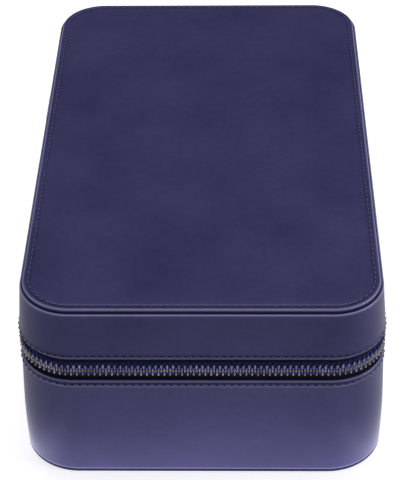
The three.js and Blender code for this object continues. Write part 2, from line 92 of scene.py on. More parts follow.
# ---- The outline -------------------------------------------------------------------------
# A rounded rectangle is walked anticlockwise from the middle of the back. Each place on it has a
# centre, which moves along the straights and waits at the corners, and an outward normal: the
# outline at any inset is centre + (corner radius - inset) * normal.
HALF_X = HALF_WIDTH - CORNER_RADIUS
HALF_Y = HALF_LENGTH - CORNER_RADIUS
MARK_X = [0, -HALF_X, -HALF_X, -HALF_X, -HALF_X, HALF_X, HALF_X, HALF_X, HALF_X, 0]
MARK_Y = [HALF_Y, HALF_Y, HALF_Y, -HALF_Y, -HALF_Y, -HALF_Y, -HALF_Y, HALF_Y, HALF_Y, HALF_Y]
MARK_ANGLE = np.radians([90, 90, 180, 180, 270, 270, 360, 360, 450, 450])


def marks(inset=0.0):
    """The distance travelled to each mark, walking at this inset."""
    steps = np.hypot(np.diff(MARK_X), np.diff(MARK_Y))
    turns = np.diff(MARK_ANGLE) * (CORNER_RADIUS - inset)
    return np.concatenate([[0], np.cumsum(steps + turns)])


def perimeter(inset=0.0):
    return marks(inset)[-1]


def outline(distance, inset=0.0):
    """Centres and outward normals at distances walked at this inset."""
    reached = marks(inset)
    centre = np.stack([np.interp(distance, reached, MARK_X), np.interp(distance, reached, MARK_Y)], -1)
    angle = np.interp(distance, reached, MARK_ANGLE)
    return centre, np.stack([np.cos(angle), np.sin(angle)], -1)


def place(distance, walk_inset, inset, height):
    """Points at distances walked at walk_inset, moved to another inset and a height. The three
    arrays are broadcast together."""
    distance, inset, height = np.broadcast_arrays(distance, inset, height)
    centre, normal = outline(distance, walk_inset)
    xy = centre + (CORNER_RADIUS - inset)[..., None] * normal
    return np.concatenate([xy, height[..., None]], -1)


LEAN_SLOPE = LID_LEAN / (LID_HIGH.z - LID_LOW.z)


def lean(height):
    """How far in the lid's leather has leant at a height."""
    return LEAN_SLOPE * (np.asarray(height) - LID_LOW.z)


# ---- Meshes ------------------------------------------------------------------------------
def new_mesh(name, points, faces, shades=None):
    mesh = bpy.data.meshes.new(name)
    mesh.from_pydata((np.asarray(points, float).reshape(-1, 3) * MM).tolist(), [], faces)
    if shades is not None:
        attribute = mesh.attributes.new("shade", "FLOAT", "POINT")
        attribute.data.foreach_set("value", np.asarray(shades, np.float32).ravel())
    mesh.polygons.foreach_set("use_smooth", [True] * len(mesh.polygons))
    mesh.update()
    thing = bpy.data.objects.new(name, mesh)
    bpy.context.scene.collection.objects.link(thing)
    return thing


def closed_mesh(name, points, faces, shades=None):
    """A mesh whose touching points are merged and whose faces are all turned outwards."""
    thing = new_mesh(name, points, faces, shades)
    mesh = bmesh.new()
    mesh.from_mesh(thing.data)
    bmesh.ops.remove_doubles(mesh, verts=mesh.verts, dist=0.01 * MM)
    bmesh.ops.recalc_face_normals(mesh, faces=mesh.faces)
    mesh.to_mesh(thing.data)
    mesh.free()
    thing.data.polygons.foreach_set("use_smooth", [True] * len(thing.data.polygons))
    return thing


def finish_piece(thing, body, slot, *nodes, material=None):
    """Gives a piece its body and its slot's material, or another one, and says which CAD nodes it
    stands for."""
    thing.data.materials.clear()
    thing.data.materials.append(material or MATERIALS[slot])
    if body:
        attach(thing, body)
    if nodes:
        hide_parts(*nodes)


def grid_faces(rows, columns, wrap_rows, wrap_columns, start=0):
    """Quads over a rows x columns grid of points, optionally joined round either way."""
    faces = []
    for i in range(rows if wrap_rows else rows - 1):
        here = start + i * columns
        there = start + (i + 1) % rows * columns
        for j in range(columns if wrap_columns else columns - 1):
            k = (j + 1) % columns
            faces.append((here + j, there + j, there + k, here + k))
    return faces


def capped_faces(rows, columns, start=0):
    """The faces of a tube of sections with a flat face across each end."""
    faces = grid_faces(rows, columns, False, True, start)
    last = start + (rows - 1) * columns
    faces.append(tuple(range(start, start + columns)))
    faces.append(tuple(reversed(range(last, last + columns))))
    return faces


def repeated_faces(count, rows, columns):
    """The faces of many small solids in a row, each a tube of sections with flat ends."""
    return [face for k in range(count) for face in capped_faces(rows, columns, k * rows * columns)]


def rounded_profile(corners, steps=5):
    """A closed outline of (inset, height, radius) corners, with each corner turned on its radius."""
    points = []
    count = len(corners)
    for i in range(count):
        here = np.array(corners[i][:2], float)
        radius = corners[i][2]
        back = np.array(corners[i - 1][:2], float) - here
        ahead = np.array(corners[(i + 1) % count][:2], float) - here
        back /= np.linalg.norm(back)
        ahead /= np.linalg.norm(ahead)
        half = math.acos(max(-1.0, min(1.0, float(back @ ahead)))) / 2
        if radius <= 0 or half > math.radians(89):
            points.append(here)
            continue
        reach = radius / math.tan(half)
        middle = here + (back + ahead) / np.linalg.norm(back + ahead) * radius / math.sin(half)
        first = here + back * reach - middle
        last = here + ahead * reach - middle
        sweep = math.acos(max(-1.0, min(1.0, float(first @ last) / radius**2)))
        for k in range(steps + 1):
            share = k / steps
            weights = math.sin((1 - share) * sweep), math.sin(share * sweep)
            points.append(middle + (first * weights[0] + last * weights[1]) / math.sin(sweep))
    return np.array(points)


BAND_SPACING = 4.0  # between the points down a band, away from its seam
SEAM_SPACING = 0.2
SEAM_REACH = 2.0  # how far to each side of a seam the points are that close


def densified(profile, seam):
    """More points along a closed profile, and many more within reach of the seam point."""
    points = []
    for i, here in enumerate(profile):
        ahead = profile[(i + 1) % len(profile)]
        length = np.linalg.norm(ahead - here)
        cuts = np.linspace(0, 1, max(1, math.ceil(length / BAND_SPACING)) + 1)[:-1]
        nearest = (np.asarray(seam) - here) @ ((ahead - here) / length)
        if length > SEAM_REACH / 2 and -SEAM_REACH < nearest < length + SEAM_REACH:
            start, end = max(0.0, nearest - SEAM_REACH), min(length, nearest + SEAM_REACH)
            near = np.linspace(start, end, max(2, math.ceil((end - start) / SEAM_SPACING)))
            away = cuts[(cuts * length < start) | (cuts * length > end)]
            cuts = np.unique(np.concatenate([away, near / length]))
            cuts = cuts[cuts < 1 - 1e-6]
        points.extend(here + (ahead - here) * cut for cut in cuts)
    return np.array(points)


GROOVE_SHADE = 0.4  # distance in mm over which painted shade darkens a groove's leather


def painted_edge_highlight(profile, *corners, reach=0.4):
    """Where a closed profile gets a painted highlight: a lighter colour near each (inset, height,
    strength) corner. It is negative, as the shade attribute is positive where painted shade darkens
    the leather."""
    painted_highlights = np.zeros(len(profile))
    for inset, height, strength in corners:
        apart = np.hypot(profile[:, 0] - inset, profile[:, 1] - height)
        painted_highlights = np.maximum(painted_highlights, strength * np.exp(-((apart / reach) ** 2)))
    return -painted_highlights


NO_SEAM = 99.0  # a distance in mm at which a seam leaves no mark
CHANNEL_DEPTH = 0.16
CHANNEL_REACH = 0.75
PIT_DEPTH = 0.45
PIT_REACH_ALONG = 0.52
PIT_REACH_ACROSS = 0.44
PIT_SLANT = 0.35


def seam_relief(along, across):
    """How deep a stitched seam sinks the leather: a shallow channel with a pit at each needle hole.
    along counts stitches, and across is the distance from the seam in mm. Also how much each pit is
    darkened, partly for the dark wax in the hole and partly as painted shade."""
    channel = np.exp(-((across / CHANNEL_REACH) ** 2))
    from_hole = ((along + 0.5) % 1 - 0.5) * STITCH_PITCH
    slanted = across + PIT_SLANT * from_hole
    pit = np.exp(-((from_hole / PIT_REACH_ALONG) ** 2) - (slanted / PIT_REACH_ACROSS) ** 2)
    return CHANNEL_DEPTH * channel + PIT_DEPTH * pit, pit


def profile_normals(profile):
    """Unit normals of a closed profile in (inset, height), on its left-hand side."""
    run = np.roll(profile, -1, 0) - np.roll(profile, 1, 0)
    normal = np.stack([-run[:, 1], run[:, 0]], -1)
    return normal / np.linalg.norm(normal, axis=1, keepdims=True)


def seam_stations(inset):
    """Distances round the outline at this inset, a whole number of stitches long."""
    stitches = round(perimeter(inset) / STITCH_PITCH)
    return np.linspace(0, perimeter(inset), stitches * STATIONS_PER_STITCH, endpoint=False), stitches


def carried_round(profile, normals, walk_inset, across, painted_groove_shade, painted_highlights):
    """A profile's points all round the case, sunk along its normals by a seam, and their shades.
    For each profile point, across is its distance from the seam, and the groove shade is how much
    painted shade darkens it in a groove; the last argument lists the corners that get a painted
    highlight."""
    distance, _ = seam_stations(walk_inset)
    along = np.arange(len(distance)) / STATIONS_PER_STITCH
    sink, pits = seam_relief(along[:, None], across)
    inset = profile[:, 0] - sink * normals[:, 0]
    height = profile[:, 1] - sink * normals[:, 1]
    points = place(distance[:, None], walk_inset, inset, height)
    # The shade attribute: painted shade in needle holes and grooves, and painted highlights at the
    # listed corners.
    return points, np.maximum(pits, painted_groove_shade) + painted_edge_highlight(profile, *painted_highlights)


def stitched_ring(name, profile, seam, painted_highlights, groove=math.inf):
    """A closed profile carried round the case, pricked by a seam at a (inset, height) point.
    The corners listed after the seam get a painted highlight, and groove is the inset beyond which
    painted shade darkens the leather."""
    profile = densified(profile, seam)
    normals = profile_normals(profile)
    to_seam = profile - np.asarray(seam)
    out = normals[np.argmin(np.hypot(*to_seam.T))]
    off_face = np.abs(to_seam @ out) > 0.3
    across = np.where(off_face, NO_SEAM, to_seam @ np.array([-out[1], out[0]]))
    # Painted shade on the leather inward of the groove inset.
    painted_groove_shade = np.clip((profile[:, 0] - groove) / GROOVE_SHADE, 0, 1)
    points, shade = carried_round(profile, normals, 0.0, across, painted_groove_shade, painted_highlights)
    return new_mesh(name, points, grid_faces(len(points), len(profile), True, True), shade)


# ---- Materials ---------------------------------------------------------------------------
class Nodes:
    """Short names for building a node material."""

    def __init__(self, name):
        self.material = bpy.data.materials.new(name)
        self.material.use_nodes = True
        self.tree = self.material.node_tree
        self.shader = self.tree.nodes["Principled BSDF"]
        self.place = self.add("ShaderNodeTexCoord").outputs["Object"]

    def add(self, kind, **settings):
        node = self.tree.nodes.new(kind)
        for key, value in settings.items():
            setattr(node, key, value)
        return node

    def join(self, source, target):
        self.tree.links.new(source, target)

    def noise(self, scale, detail=3.0, roughness=0.5):
        node = self.add("ShaderNodeTexNoise")
        node.inputs["Scale"].default_value = scale
        node.inputs["Detail"].default_value = detail
        node.inputs["Roughness"].default_value = roughness
        self.join(self.place, node.inputs["Vector"])
        return node.outputs["Fac"]

    def cells(self, scale):
        node = self.add("ShaderNodeTexVoronoi")
        node.inputs["Scale"].default_value = scale
        self.join(self.place, node.inputs["Vector"])
        return node.outputs["Distance"]

    def waves(self, scale, direction, distortion=0.0):
        node = self.add("ShaderNodeTexWave", bands_direction=direction)
        node.inputs["Scale"].default_value = scale
        node.inputs["Distortion"].default_value = distortion
        self.join(self.place, node.inputs["Vector"])
        return node.outputs["Fac"]

    def math(self, operation, a, b):
        node = self.add("ShaderNodeMath", operation=operation)
        for value, target in zip((a, b), node.inputs):
            if isinstance(value, (int, float)):
                target.default_value = value
            else:
                self.join(value, target)
        return node.outputs[0]

    def blend(self, a, share_of_a, b, share_of_b):
        scaled = self.math("MULTIPLY", a, share_of_a), self.math("MULTIPLY", b, share_of_b)
        return self.math("ADD", *scaled)

    def ramp(self, fac, *stops):
        """A colour for each (position, colour) stop."""
        node = self.add("ShaderNodeValToRGB")
        elements = node.color_ramp.elements
        while len(elements) < len(stops):
            elements.new(0.5)
        for element, (position, colour) in zip(elements, stops):
            element.position = position
            element.color = (*colour, 1)
        self.join(fac, node.inputs["Fac"])
        return node.outputs["Color"]

    def mix(self, fac, a, b):
        node = self.add("ShaderNodeMix", data_type="RGBA")
        for value, target in zip((fac, a, b), (node.inputs[0], node.inputs[6], node.inputs[7])):
            if isinstance(value, (int, float)):
                target.default_value = value
            elif isinstance(value, tuple):
                target.default_value = (*value, 1)
            else:
                self.join(value, target)
        return node.outputs[2]

    def bump(self, height, distance, strength=1.0, after=None):
        node = self.add("ShaderNodeBump")
        node.inputs["Strength"].default_value = strength
        node.inputs["Distance"].default_value = distance * MM
        self.join(height, node.inputs["Height"])
        if after is not None:
            self.join(after, node.inputs["Normal"])
        return node.outputs["Normal"]

    def set(self, **inputs):
        """Sets the shader's inputs, by name with _ for each space, to a value or a link."""
        for key, value in inputs.items():
            target = self.shader.inputs[key.replace("_", " ")]
            if isinstance(value, tuple):
                target.default_value = (*value, 1)
            elif isinstance(value, (int, float)):
                target.default_value = value
            else:
                self.join(value, target)
        return self.material


PAINTED_HIGHLIGHT_COLOUR = (0.40, 0.39, 0.66)  # painted highlight, mixed into the rolled edges' colour
# Painted shade: near black in needle holes, partly their dark wax and partly shade, and in grooves,
# where it is only shade.
HOLE_AND_GROOVE_SHADE = (0.003, 0.003, 0.012)


def leather_material(name, dark, light, roughness=0.35):
    """Smooth fine-grained leather: cloudy colour, small pebbles, painted shade in needle holes and
    grooves, and painted highlights on rolled edges.
    """
    n = Nodes(name)
    clouds = n.noise(26, 4, 0.55)
    specks = n.noise(420, 2)
    cloudy = n.blend(clouds, 0.75, specks, 0.25)
    colour = n.ramp(cloudy, (0.30, dark), (0.70, light))
    pebbles = n.cells(1500)
    creases = n.noise(900, 5, 0.65)
    grain = n.blend(pebbles, 0.6, creases, 0.7)
    shade = n.add("ShaderNodeAttribute", attribute_name="shade").outputs["Fac"]
    # Painted shade where the shade attribute is positive; painted highlight where it is negative.
    painted_shade_mask = n.math("MULTIPLY", n.math("MAXIMUM", shade, 0.0), 0.9)
    painted_highlights = n.math("MAXIMUM", n.math("MULTIPLY", shade, -1.0), 0.0)
    colour = n.mix(painted_shade_mask, colour, HOLE_AND_GROOVE_SHADE)
    # A painted highlight: a lighter colour on the rolled edges. The lower roughness there is real
    # burnished gloss.
    colour = n.mix(n.math("MULTIPLY", painted_highlights, 0.6), colour, PAINTED_HIGHLIGHT_COLOUR)
    shine = n.math("ADD", n.math("MULTIPLY", clouds, 0.16), roughness - 0.08)
    shine = n.math("SUBTRACT", shine, n.math("MULTIPLY", painted_highlights, 0.14))
    return n.set(
        Base_Color=colour,
        Roughness=shine,
        Specular_IOR_Level=0.34,
        Specular_Tint=(0.62, 0.62, 1.0),
        Normal=n.bump(grain, 0.045, 0.55, n.bump(n.noise(60, 3), 0.25, 0.25)),
    )


def thread_material():
    n = Nodes("navy_thread")
    twist = n.waves(900, "DIAGONAL", 1.5)
    colour = n.ramp(twist, (0.2, (0.045, 0.045, 0.13)), (0.8, (0.14, 0.14, 0.31)))
    return n.set(
        Base_Color=colour,
        Roughness=0.36,
        Specular_Tint=(0.6, 0.6, 1.0),
        Normal=n.bump(twist, 0.08, 0.6),
    )


def tape_material():
    """Zip tape: a royal blue herringbone weave, with painted shade turning it near-black navy away from
    the teeth.
    """
    n = Nodes("zip_tape")
    up = n.waves(520, "DIAGONAL")
    ribs = n.waves(640, "Z", 0.6)
    weave = n.blend(up, 0.5, ribs, 0.5)
    unshaded_near_teeth = n.add("ShaderNodeAttribute", attribute_name="shade").outputs["Fac"]
    blue = n.ramp(weave, (0.35, (0.003, 0.004, 0.04)), (0.75, (0.07, 0.115, 0.62)))
    # Painted shade: near-black navy where the leather bands shade the tape, away from the teeth.
    navy = n.ramp(weave, (0.25, (0.0015, 0.0015, 0.006)), (0.75, (0.004, 0.004, 0.02)))
    colour = n.mix(unshaded_near_teeth, navy, blue)
    return n.set(
        Base_Color=colour,
        Roughness=0.85,
        Specular_IOR_Level=0.2,
        Normal=n.bump(weave, 0.12, 0.8),
    )


def metal_material(name, dark, light):
    """Plated metal with faint wear and tiny scratches."""
    n = Nodes(name)
    tone = n.noise(240, 4, 0.6)
    scratches = n.noise(2600, 2)
    return n.set(
        Base_Color=n.ramp(tone, (0.35, dark), (0.7, light)),
        Metallic=1.0,
        Roughness=n.math("ADD", n.math("MULTIPLY", tone, 0.25), 0.14),
        Normal=n.bump(scratches, 0.02, 0.3),
    )


def suede_material(name, dark, light):
    """Short-nap suede: soft patches where the nap lies differently, and a fine fuzz."""
    n = Nodes(name)
    patches = n.noise(45, 3, 0.6)
    fuzz = n.noise(2200, 3, 0.7)
    tone = n.blend(patches, 0.65, fuzz, 0.35)
    return n.set(
        Base_Color=n.ramp(tone, (0.35, dark), (0.65, light)),
        Roughness=0.95,
        Sheen_Weight=0.9,
        Sheen_Roughness=0.5,
        Sheen_Tint=(0.85, 0.87, 1.0),
        Normal=n.bump(fuzz, 0.1, 0.6),
    )


def board_material():
    """Bare fibreboard: brown, with fibres and flecks."""
    n = Nodes("fibreboard")
    fibres = n.noise(1300, 5, 0.8)
    colour = n.ramp(fibres, (0.3, (0.16, 0.09, 0.04)), (0.7, (0.42, 0.28, 0.14)))
    return n.set(Base_Color=colour, Roughness=0.9, Normal=n.bump(fibres, 0.15, 0.6))


def foam_material():
    n = Nodes("foam")
    pores = n.cells(1100)
    colour = n.ramp(pores, (0.1, (0.35, 0.33, 0.28)), (0.6, (0.72, 0.7, 0.62)))
    return n.set(Base_Color=colour, Roughness=1.0, Normal=n.bump(pores, 0.3, 0.8))


MATERIALS = {
    "navy_leather": leather_material("navy_leather", (0.029, 0.028, 0.094), (0.049, 0.047, 0.140)),
    "navy_thread": thread_material(),
    "zip_tape": tape_material(),
    "zip_metal": metal_material("gunmetal", (0.13, 0.115, 0.115), (0.33, 0.295, 0.285)),
    "grey_suede": suede_material("grey_suede", (0.20, 0.21, 0.26), (0.30, 0.31, 0.37)),
    "fibreboard": board_material(),
    "foam": foam_material(),
}
# A darker copy of the leather: painted shade on the bottom panel's edge.
SHADED_EDGE_LEATHER = leather_material("navy_edge_painted_shade", (0.016, 0.013, 0.036), (0.030, 0.026, 0.062), 0.5)
for part in frame["record"]["subparts"]:
    node = frame["nodes"][part["node"]]
    node.data.materials.clear()
    node.data.materials.append(MATERIALS[part["material_slot"]])


# ---- Leather bands -----------------------------------------------------------------------
BASE_SEAM_DROP = 2.2  # the seam's distance below the base band's upper edge
LID_SEAM_RISE = 1.4  # and above the lid band's lower edge
EDGE_ROLL = 0.5
FULLEST = 0.67  # share of the way down at which the base's leather stands out the most


def swell(height):
    """How far the base's padded leather stands out at a height: nothing at its upper edge, the
    most a third of the way up, and a little less at its lower edge."""
    down = (BAND_HIGH.z - np.asarray(height)) / (BAND_HIGH.z - BAND_LOW.z)
    rise = np.sin(np.clip(down / FULLEST, 0, 1) * math.pi / 2) ** 2
    tuck = np.clip((down - FULLEST) / (1 - FULLEST), 0, 1) ** 2
    return BASE_FLARE * (1.1 * rise - 0.35 * tuck)


def base_band():
    top = BAND_HIGH.z
    crease = top - 1.0
    wall = [(-float(swell(z)), z, 0) for z in np.linspace(crease - 4, BAND_LOW.z + 3, 14)]
    profile = rounded_profile(
        [
            (BAND_THICKNESS, BAND_LOW.z, 0),
            (BAND_THICKNESS, top, 0.35),
            (0.05, top, EDGE_ROLL),
            (0.02, crease + 0.25, 0.2),
            (0.22, crease, 0.15),
            (0.0, crease - 0.3, 0.3),
            *wall,
            (-float(swell(BAND_LOW.z + 1.3)), BAND_LOW.z + 1.3, 0),
            (-float(swell(BAND_LOW.z)), BAND_LOW.z, 0.55),
        ]
    )
    seam_height = top - BASE_SEAM_DROP
    # Painted highlights on the base band's upper rolled edge and on its foot.
    foot = (-float(swell(BAND_LOW.z)) + 0.15, BAND_LOW.z + 0.5, 0.6)
    corners = [(0.2, top - 0.15, 0.8), foot]
    band = stitched_ring("base_band", profile, (0.0, seam_height), corners)
    finish_piece(band, "base", "navy_leather", "base_leather_band")


def lid_band():
    low, high = LID_LOW.z, LID_HIGH.z
    ledge = high + 0.04  # the leather that lines the groove, just over the board
    profile = rounded_profile(
        [
            (BAND_THICKNESS + lean(low), low, 0.3),
            (BAND_THICKNESS + lean(high), high - 0.5, 0.05),
            (PANEL_INSET + 1.2, high - 0.5, 0.05),
            (PANEL_INSET + 1.2, ledge, 0.05),
            (lean(high) + 0.75, ledge, 0.05),
            (lean(high), ledge, EDGE_ROLL),
            (lean(high - 0.9), high - 0.9, 0),
            (lean(low + 0.9), low + 0.9, 0),
            (lean(low), low, EDGE_ROLL),
        ]
    )
    seam_height = low + LID_SEAM_RISE
    seam = (float(lean(seam_height)), seam_height)
    # A painted highlight on the band's upper rolled edge; painted shade inward of lean + 0.7, over its
    # top and the groove ledge.
    corner = (lean(high) + 0.15, ledge - 0.15, 1.0)
    band = stitched_ring("lid_band", profile, seam, [corner], LID_LEAN + 0.7)
    finish_piece(band, "lid", "navy_leather", "lid_leather_band")


base_band()
lid_band()


# ---- Panels ------------------------------------------------------------------------------
FILL_EASE = 0.8  # below 1, so a panel's rings of points lie closer together towards its middle
FILL_END = 0.999  # the last ring stops just short of the middle line
CROWN_STEEPNESS = 1.6  # a crowned face is at its full height 1 / 1.6 of the way in
FACE_DEPTH = 0.35  # points within this of a panel's highest are on its face


def panel_fill(border, share):
    """The border ring moved a share of the way in to the line along the case's middle."""
    spine = HALF_LENGTH - HALF_WIDTH
    target = np.stack([np.zeros(len(border)), np.clip(border[:, 1], -spine, spine)], -1)
    return border[:, :2] + (target - border[:, :2]) * share


def closed_panel(name, profile, walk_inset, crown, fill_steps, seam=None, painted_highlights=()):
    """A panel: an open profile of (inset, height) from its underside's edge round to its face,
    carried round the case, with both ends filled in across. crown is how far the face rises. With a
    seam, painted shade darkens its foot in the groove, and the corners listed last get a painted
    highlight."""
    normals = profile_normals(profile)
    normals[0], normals[-1] = normals[1], normals[-2]
    across, painted_groove_shade = np.full(len(profile), NO_SEAM), 0.0
    if seam is not None:
        flat = np.abs(profile[:, 1] - profile[:, 1].max()) < FACE_DEPTH
        across = np.where(flat, profile[:, 0] - seam, NO_SEAM)
        # Painted shade along the panel's foot, in the groove it sits in.
        foot = profile[:, 1].min() + GROOVE_SHADE
        painted_groove_shade = np.clip((foot - profile[:, 1]) / GROOVE_SHADE * 2, 0, 1)
    points, shade = carried_round(profile, normals, walk_inset, across, painted_groove_shade, painted_highlights)
    rows, columns = shade.shape
    faces = grid_faces(rows, columns, True, False)
    layers = [points.reshape(-1, 3)]
    shades = [shade.ravel()]
    total = rows * columns
    coarse = rows // STATIONS_PER_STITCH
    for column, sign in ((columns - 1, 1), (0, -1)):
        border = points[:, column]
        rise = crown if sign > 0 else 0.0
        ring_points = border[::STATIONS_PER_STITCH]
        first = total
        for k in range(1, fill_steps + 1):
            share = (k / fill_steps) ** FILL_EASE
            xy = panel_fill(ring_points, share * FILL_END)
            lift = rise * math.sin(min(1.0, share * CROWN_STEEPNESS) * math.pi / 2)
            layers.append(np.column_stack([xy, ring_points[:, 2] + lift]))
            shades.append(np.zeros(coarse))
        total += coarse * fill_steps
        for i in range(coarse):
            j = (i + 1) % coarse
            span = range(i * STATIONS_PER_STITCH, (i + 1) * STATIONS_PER_STITCH + 1)
            outer = [(m % rows) * columns + column for m in span]
            face = outer + [first + j, first + i]
            faces.append(tuple(face if sign < 0 else reversed(face)))
            for k in range(fill_steps - 1):
                at, inner = first + k * coarse, first + (k + 1) * coarse
                quad = (at + i, at + j, inner + j, inner + i)
                faces.append(quad if sign < 0 else quad[::-1])
        last = first + (fill_steps - 1) * coarse
        end = [last + i for i in range(coarse)]
        faces.append(tuple(end if sign < 0 else reversed(end)))
    return closed_mesh(name, np.concatenate(layers), faces, np.concatenate(shades))


TOP_SEAM_INSET = PANEL_INSET + 2.4


def top_panel():
    low, high = PANEL_LOW.z, PANEL_HIGH.z
    edge = PANEL_INSET
    under = [(edge + 3, low), (edge + 0.6, low)]
    roll = [
        (edge + 0.28 * (1 - math.sin(a)), low + 0.3 * (1 - math.cos(a)))
        for a in np.radians([20, 55, 90])
    ]
    top_roll = [
        (edge + 0.7 * (1 - math.cos(a)), high - 0.7 + 0.7 * math.sin(a))
        for a in np.radians([0, 18, 36, 54, 72, 90])
    ]
    border = [(x, high) for x in np.arange(edge + 1.1, TOP_SEAM_INSET - 1.3, 0.5)]
    seam = [(x, high) for x in np.arange(TOP_SEAM_INSET - 1.3, TOP_SEAM_INSET + 1.35, 0.2)]
    puff = [(x, high + 0.12 * math.sin((x - TOP_SEAM_INSET - 1.2) / 4.5 * math.pi / 2))
            for x in np.arange(TOP_SEAM_INSET + 1.7, TOP_SEAM_INSET + 6, 0.8)]
    profile = np.array(under + roll + top_roll + border + seam + puff)
    # A painted highlight on the top panel's rolled edge.
    corner = (edge + 0.2, high - 0.2, 1.0)
    panel = closed_panel("top_panel", profile, TOP_SEAM_INSET, 0.15, 9, TOP_SEAM_INSET, [corner])
    finish_piece(panel, "lid", "navy_leather", "lid_top_panel")


def bottom_panel():
    high = box_mm("base_bottom_panel")[1]
    edge = HALF_WIDTH - high.x + 0.12
    roll = high.z / 2
    rim = [
        (edge + roll * 0.6 * (1 - math.cos(a)), roll + roll * math.sin(a))
        for a in np.radians(range(90, -91, -30))
    ]
    profile = np.array([(edge + 4, high.z), *rim, (edge + 4, 0.0)])
    panel = closed_panel("bottom_panel", profile, 0.0, 0.0, 3)
    # Its darker leather is painted shade on this edge.
    finish_piece(panel, "base", "navy_leather", "base_bottom_panel", material=SHADED_EDGE_LEATHER)


top_panel()
bottom_panel()


# ---- Stitches ----------------------------------------------------------------------------
THREAD_RADIUS = 0.27
THREAD_SIDES = 6
THREAD_SLANT = 0.2
# Along a stitch: places as shares of the pitch, heights above the leather in mm, and thickness.
STITCH_RUN = np.array([-0.43, -0.36, -0.22, 0.0, 0.22, 0.36, 0.43])
STITCH_LIFT = np.array([-0.55, -0.16, 0.06, 0.12, 0.06, -0.16, -0.55])
STITCH_THICKNESS = np.array([0.5, 0.85, 1.0, 1.0, 1.0, 0.85, 0.5])


def stitches(name, body, node, seam_inset, height_at, rise, up_face=False):
    """Separate stitches round a seam. up_face is True where they lie on the top panel, so that
    out of the leather is up; otherwise they lie on a wall, and out is the outline's normal."""
    _, count = seam_stations(seam_inset)
    pitch = perimeter(seam_inset) / count
    run = STITCH_RUN
    lift = STITCH_LIFT + rise
    thick = STITCH_THICKNESS * THREAD_RADIUS
    distance = (np.arange(count)[:, None] + 0.5 + run[None, :]) * pitch
    spread = THREAD_SLANT * np.sin(run / run[-1] * math.pi / 2)
    turn = np.arange(THREAD_SIDES) / THREAD_SIDES * 2 * math.pi
    side = np.cos(turn)[None, :] * thick[:, None] * 0.9 + spread[:, None]
    out = np.sin(turn)[None, :] * thick[:, None] * 0.8 + lift[:, None]
    if up_face:
        inset, height = seam_inset + side, height_at + out
    else:
        height = height_at + side
        inset = seam_inset - out
        if body == "lid":
            inset = inset + lean(height) - lean(height_at)
    points = place(distance[:, :, None], seam_inset, inset, height)
    faces = repeated_faces(count, len(run), THREAD_SIDES)
    finish_piece(closed_mesh(name, points, faces), body, "navy_thread", node)


lid_seam = LID_LOW.z + LID_SEAM_RISE
stitches("top_stitches", "lid", "lid_top_stitching", TOP_SEAM_INSET, PANEL_HIGH.z, 0.1, True)
stitches("base_hem_stitches", "base", "base_hem_stitching", 0.0, BAND_HIGH.z - BASE_SEAM_DROP, -0.12)
stitches("lid_hem_stitches", "lid", "lid_hem_stitching", float(lean(lid_seam)), lid_seam, -0.06)


# ---- Zip ---------------------------------------------------------------------------------
TOOTH_PITCH = 2.35
TOOTH_MIDDLE = 0.7  # inset of the line the teeth stand on
TOOTH_SIDES = 10
TOOTH_REACH = 1.0  # how far each head passes the middle of the chain
TOOTH_ROOT = 2.9
CHAIN_END_ANGLE = math.radians(74)
CHAIN_START = marks()[1] + (math.pi / 2 - CHAIN_END_ANGLE) * CORNER_RADIUS
CHAIN_STOP = perimeter() - CHAIN_START
SLIDER_LOW, SLIDER_HIGH = box_mm("zip_slider")
SLIDER_Y = (SLIDER_LOW.y + SLIDER_HIGH.y) / 2
PAST_SLIDER = marks()[2] + HALF_Y - SLIDER_Y  # distance walked to the slider, on the left side


OPENING = 1.15  # how far each row stands off the middle where the zip is open
OPENING_LEAD = 3.0  # from the slider to where the rows begin to part
OPENING_RUN = 16.0  # over which they part


def spread_open(distance):
    """How far each row stands off the middle: the rows part beyond the slider."""
    beyond = np.clip((PAST_SLIDER - OPENING_LEAD - np.asarray(distance)) / OPENING_RUN, 0, 1)
    return OPENING * beyond * beyond * (3 - 2 * beyond)


def zip_teeth(name, body, node, up, shift):
    """One row of teeth. up is 1 for the lid's row, which hangs down, and -1 for the base's."""
    count = int((CHAIN_STOP - CHAIN_START) / TOOTH_PITCH) - 1
    middle = CHAIN_START + (np.arange(count) + 0.5 + shift) * TOOTH_PITCH
    # Sections up the tooth: height from the chain's middle, half width, and depth in and out.
    sections = [
        (-TOOTH_REACH, 0.16, 0.25),
        (-TOOTH_REACH + 0.2, 0.46, 0.66),
        (-0.42, 0.62, 0.95),
        (0.05, 0.42, 0.8),
        (0.5, 0.33, 0.65),
        (1.0, 0.33, 0.65),
        (1.5, 0.54, 0.95),
        (2.1, 0.66, 1.1),
        (TOOTH_ROOT - 0.25, 0.42, 0.85),
        (TOOTH_ROOT, 0.14, 0.4),
    ]
    turn = np.arange(TOOTH_SIDES) / TOOTH_SIDES * 2 * math.pi
    levels, halves, depths = (np.array(column)[:, None] for column in zip(*sections))
    side = halves * np.cos(turn)
    inset = TOOTH_MIDDLE + depths * np.sin(turn)
    apart = spread_open(middle)[:, None, None]
    height = PARTING + up * (levels + apart)
    points = place(middle[:, None, None] + side, 0.0, inset, height)
    faces = repeated_faces(count, len(sections), TOOTH_SIDES)
    finish_piece(closed_mesh(name, points, faces), body, "zip_metal", node)


CORD_HEIGHT = 1.25  # of the middle of each tape's corded edge, from the chain's middle
CORD_HALF_HEIGHT = 0.55
CORD_INSET = 1.05
CORD_HALF_DEPTH = 0.75
TAPE_FACE = 1.37  # insets of the tape's outer and inner faces
TAPE_BACK = 1.95
TAPE_EDGE = 2.0  # distance from the chain's middle at which the tape meets its cord
RIB_DEPTH = 0.05
RIB_LENGTH = 1.2


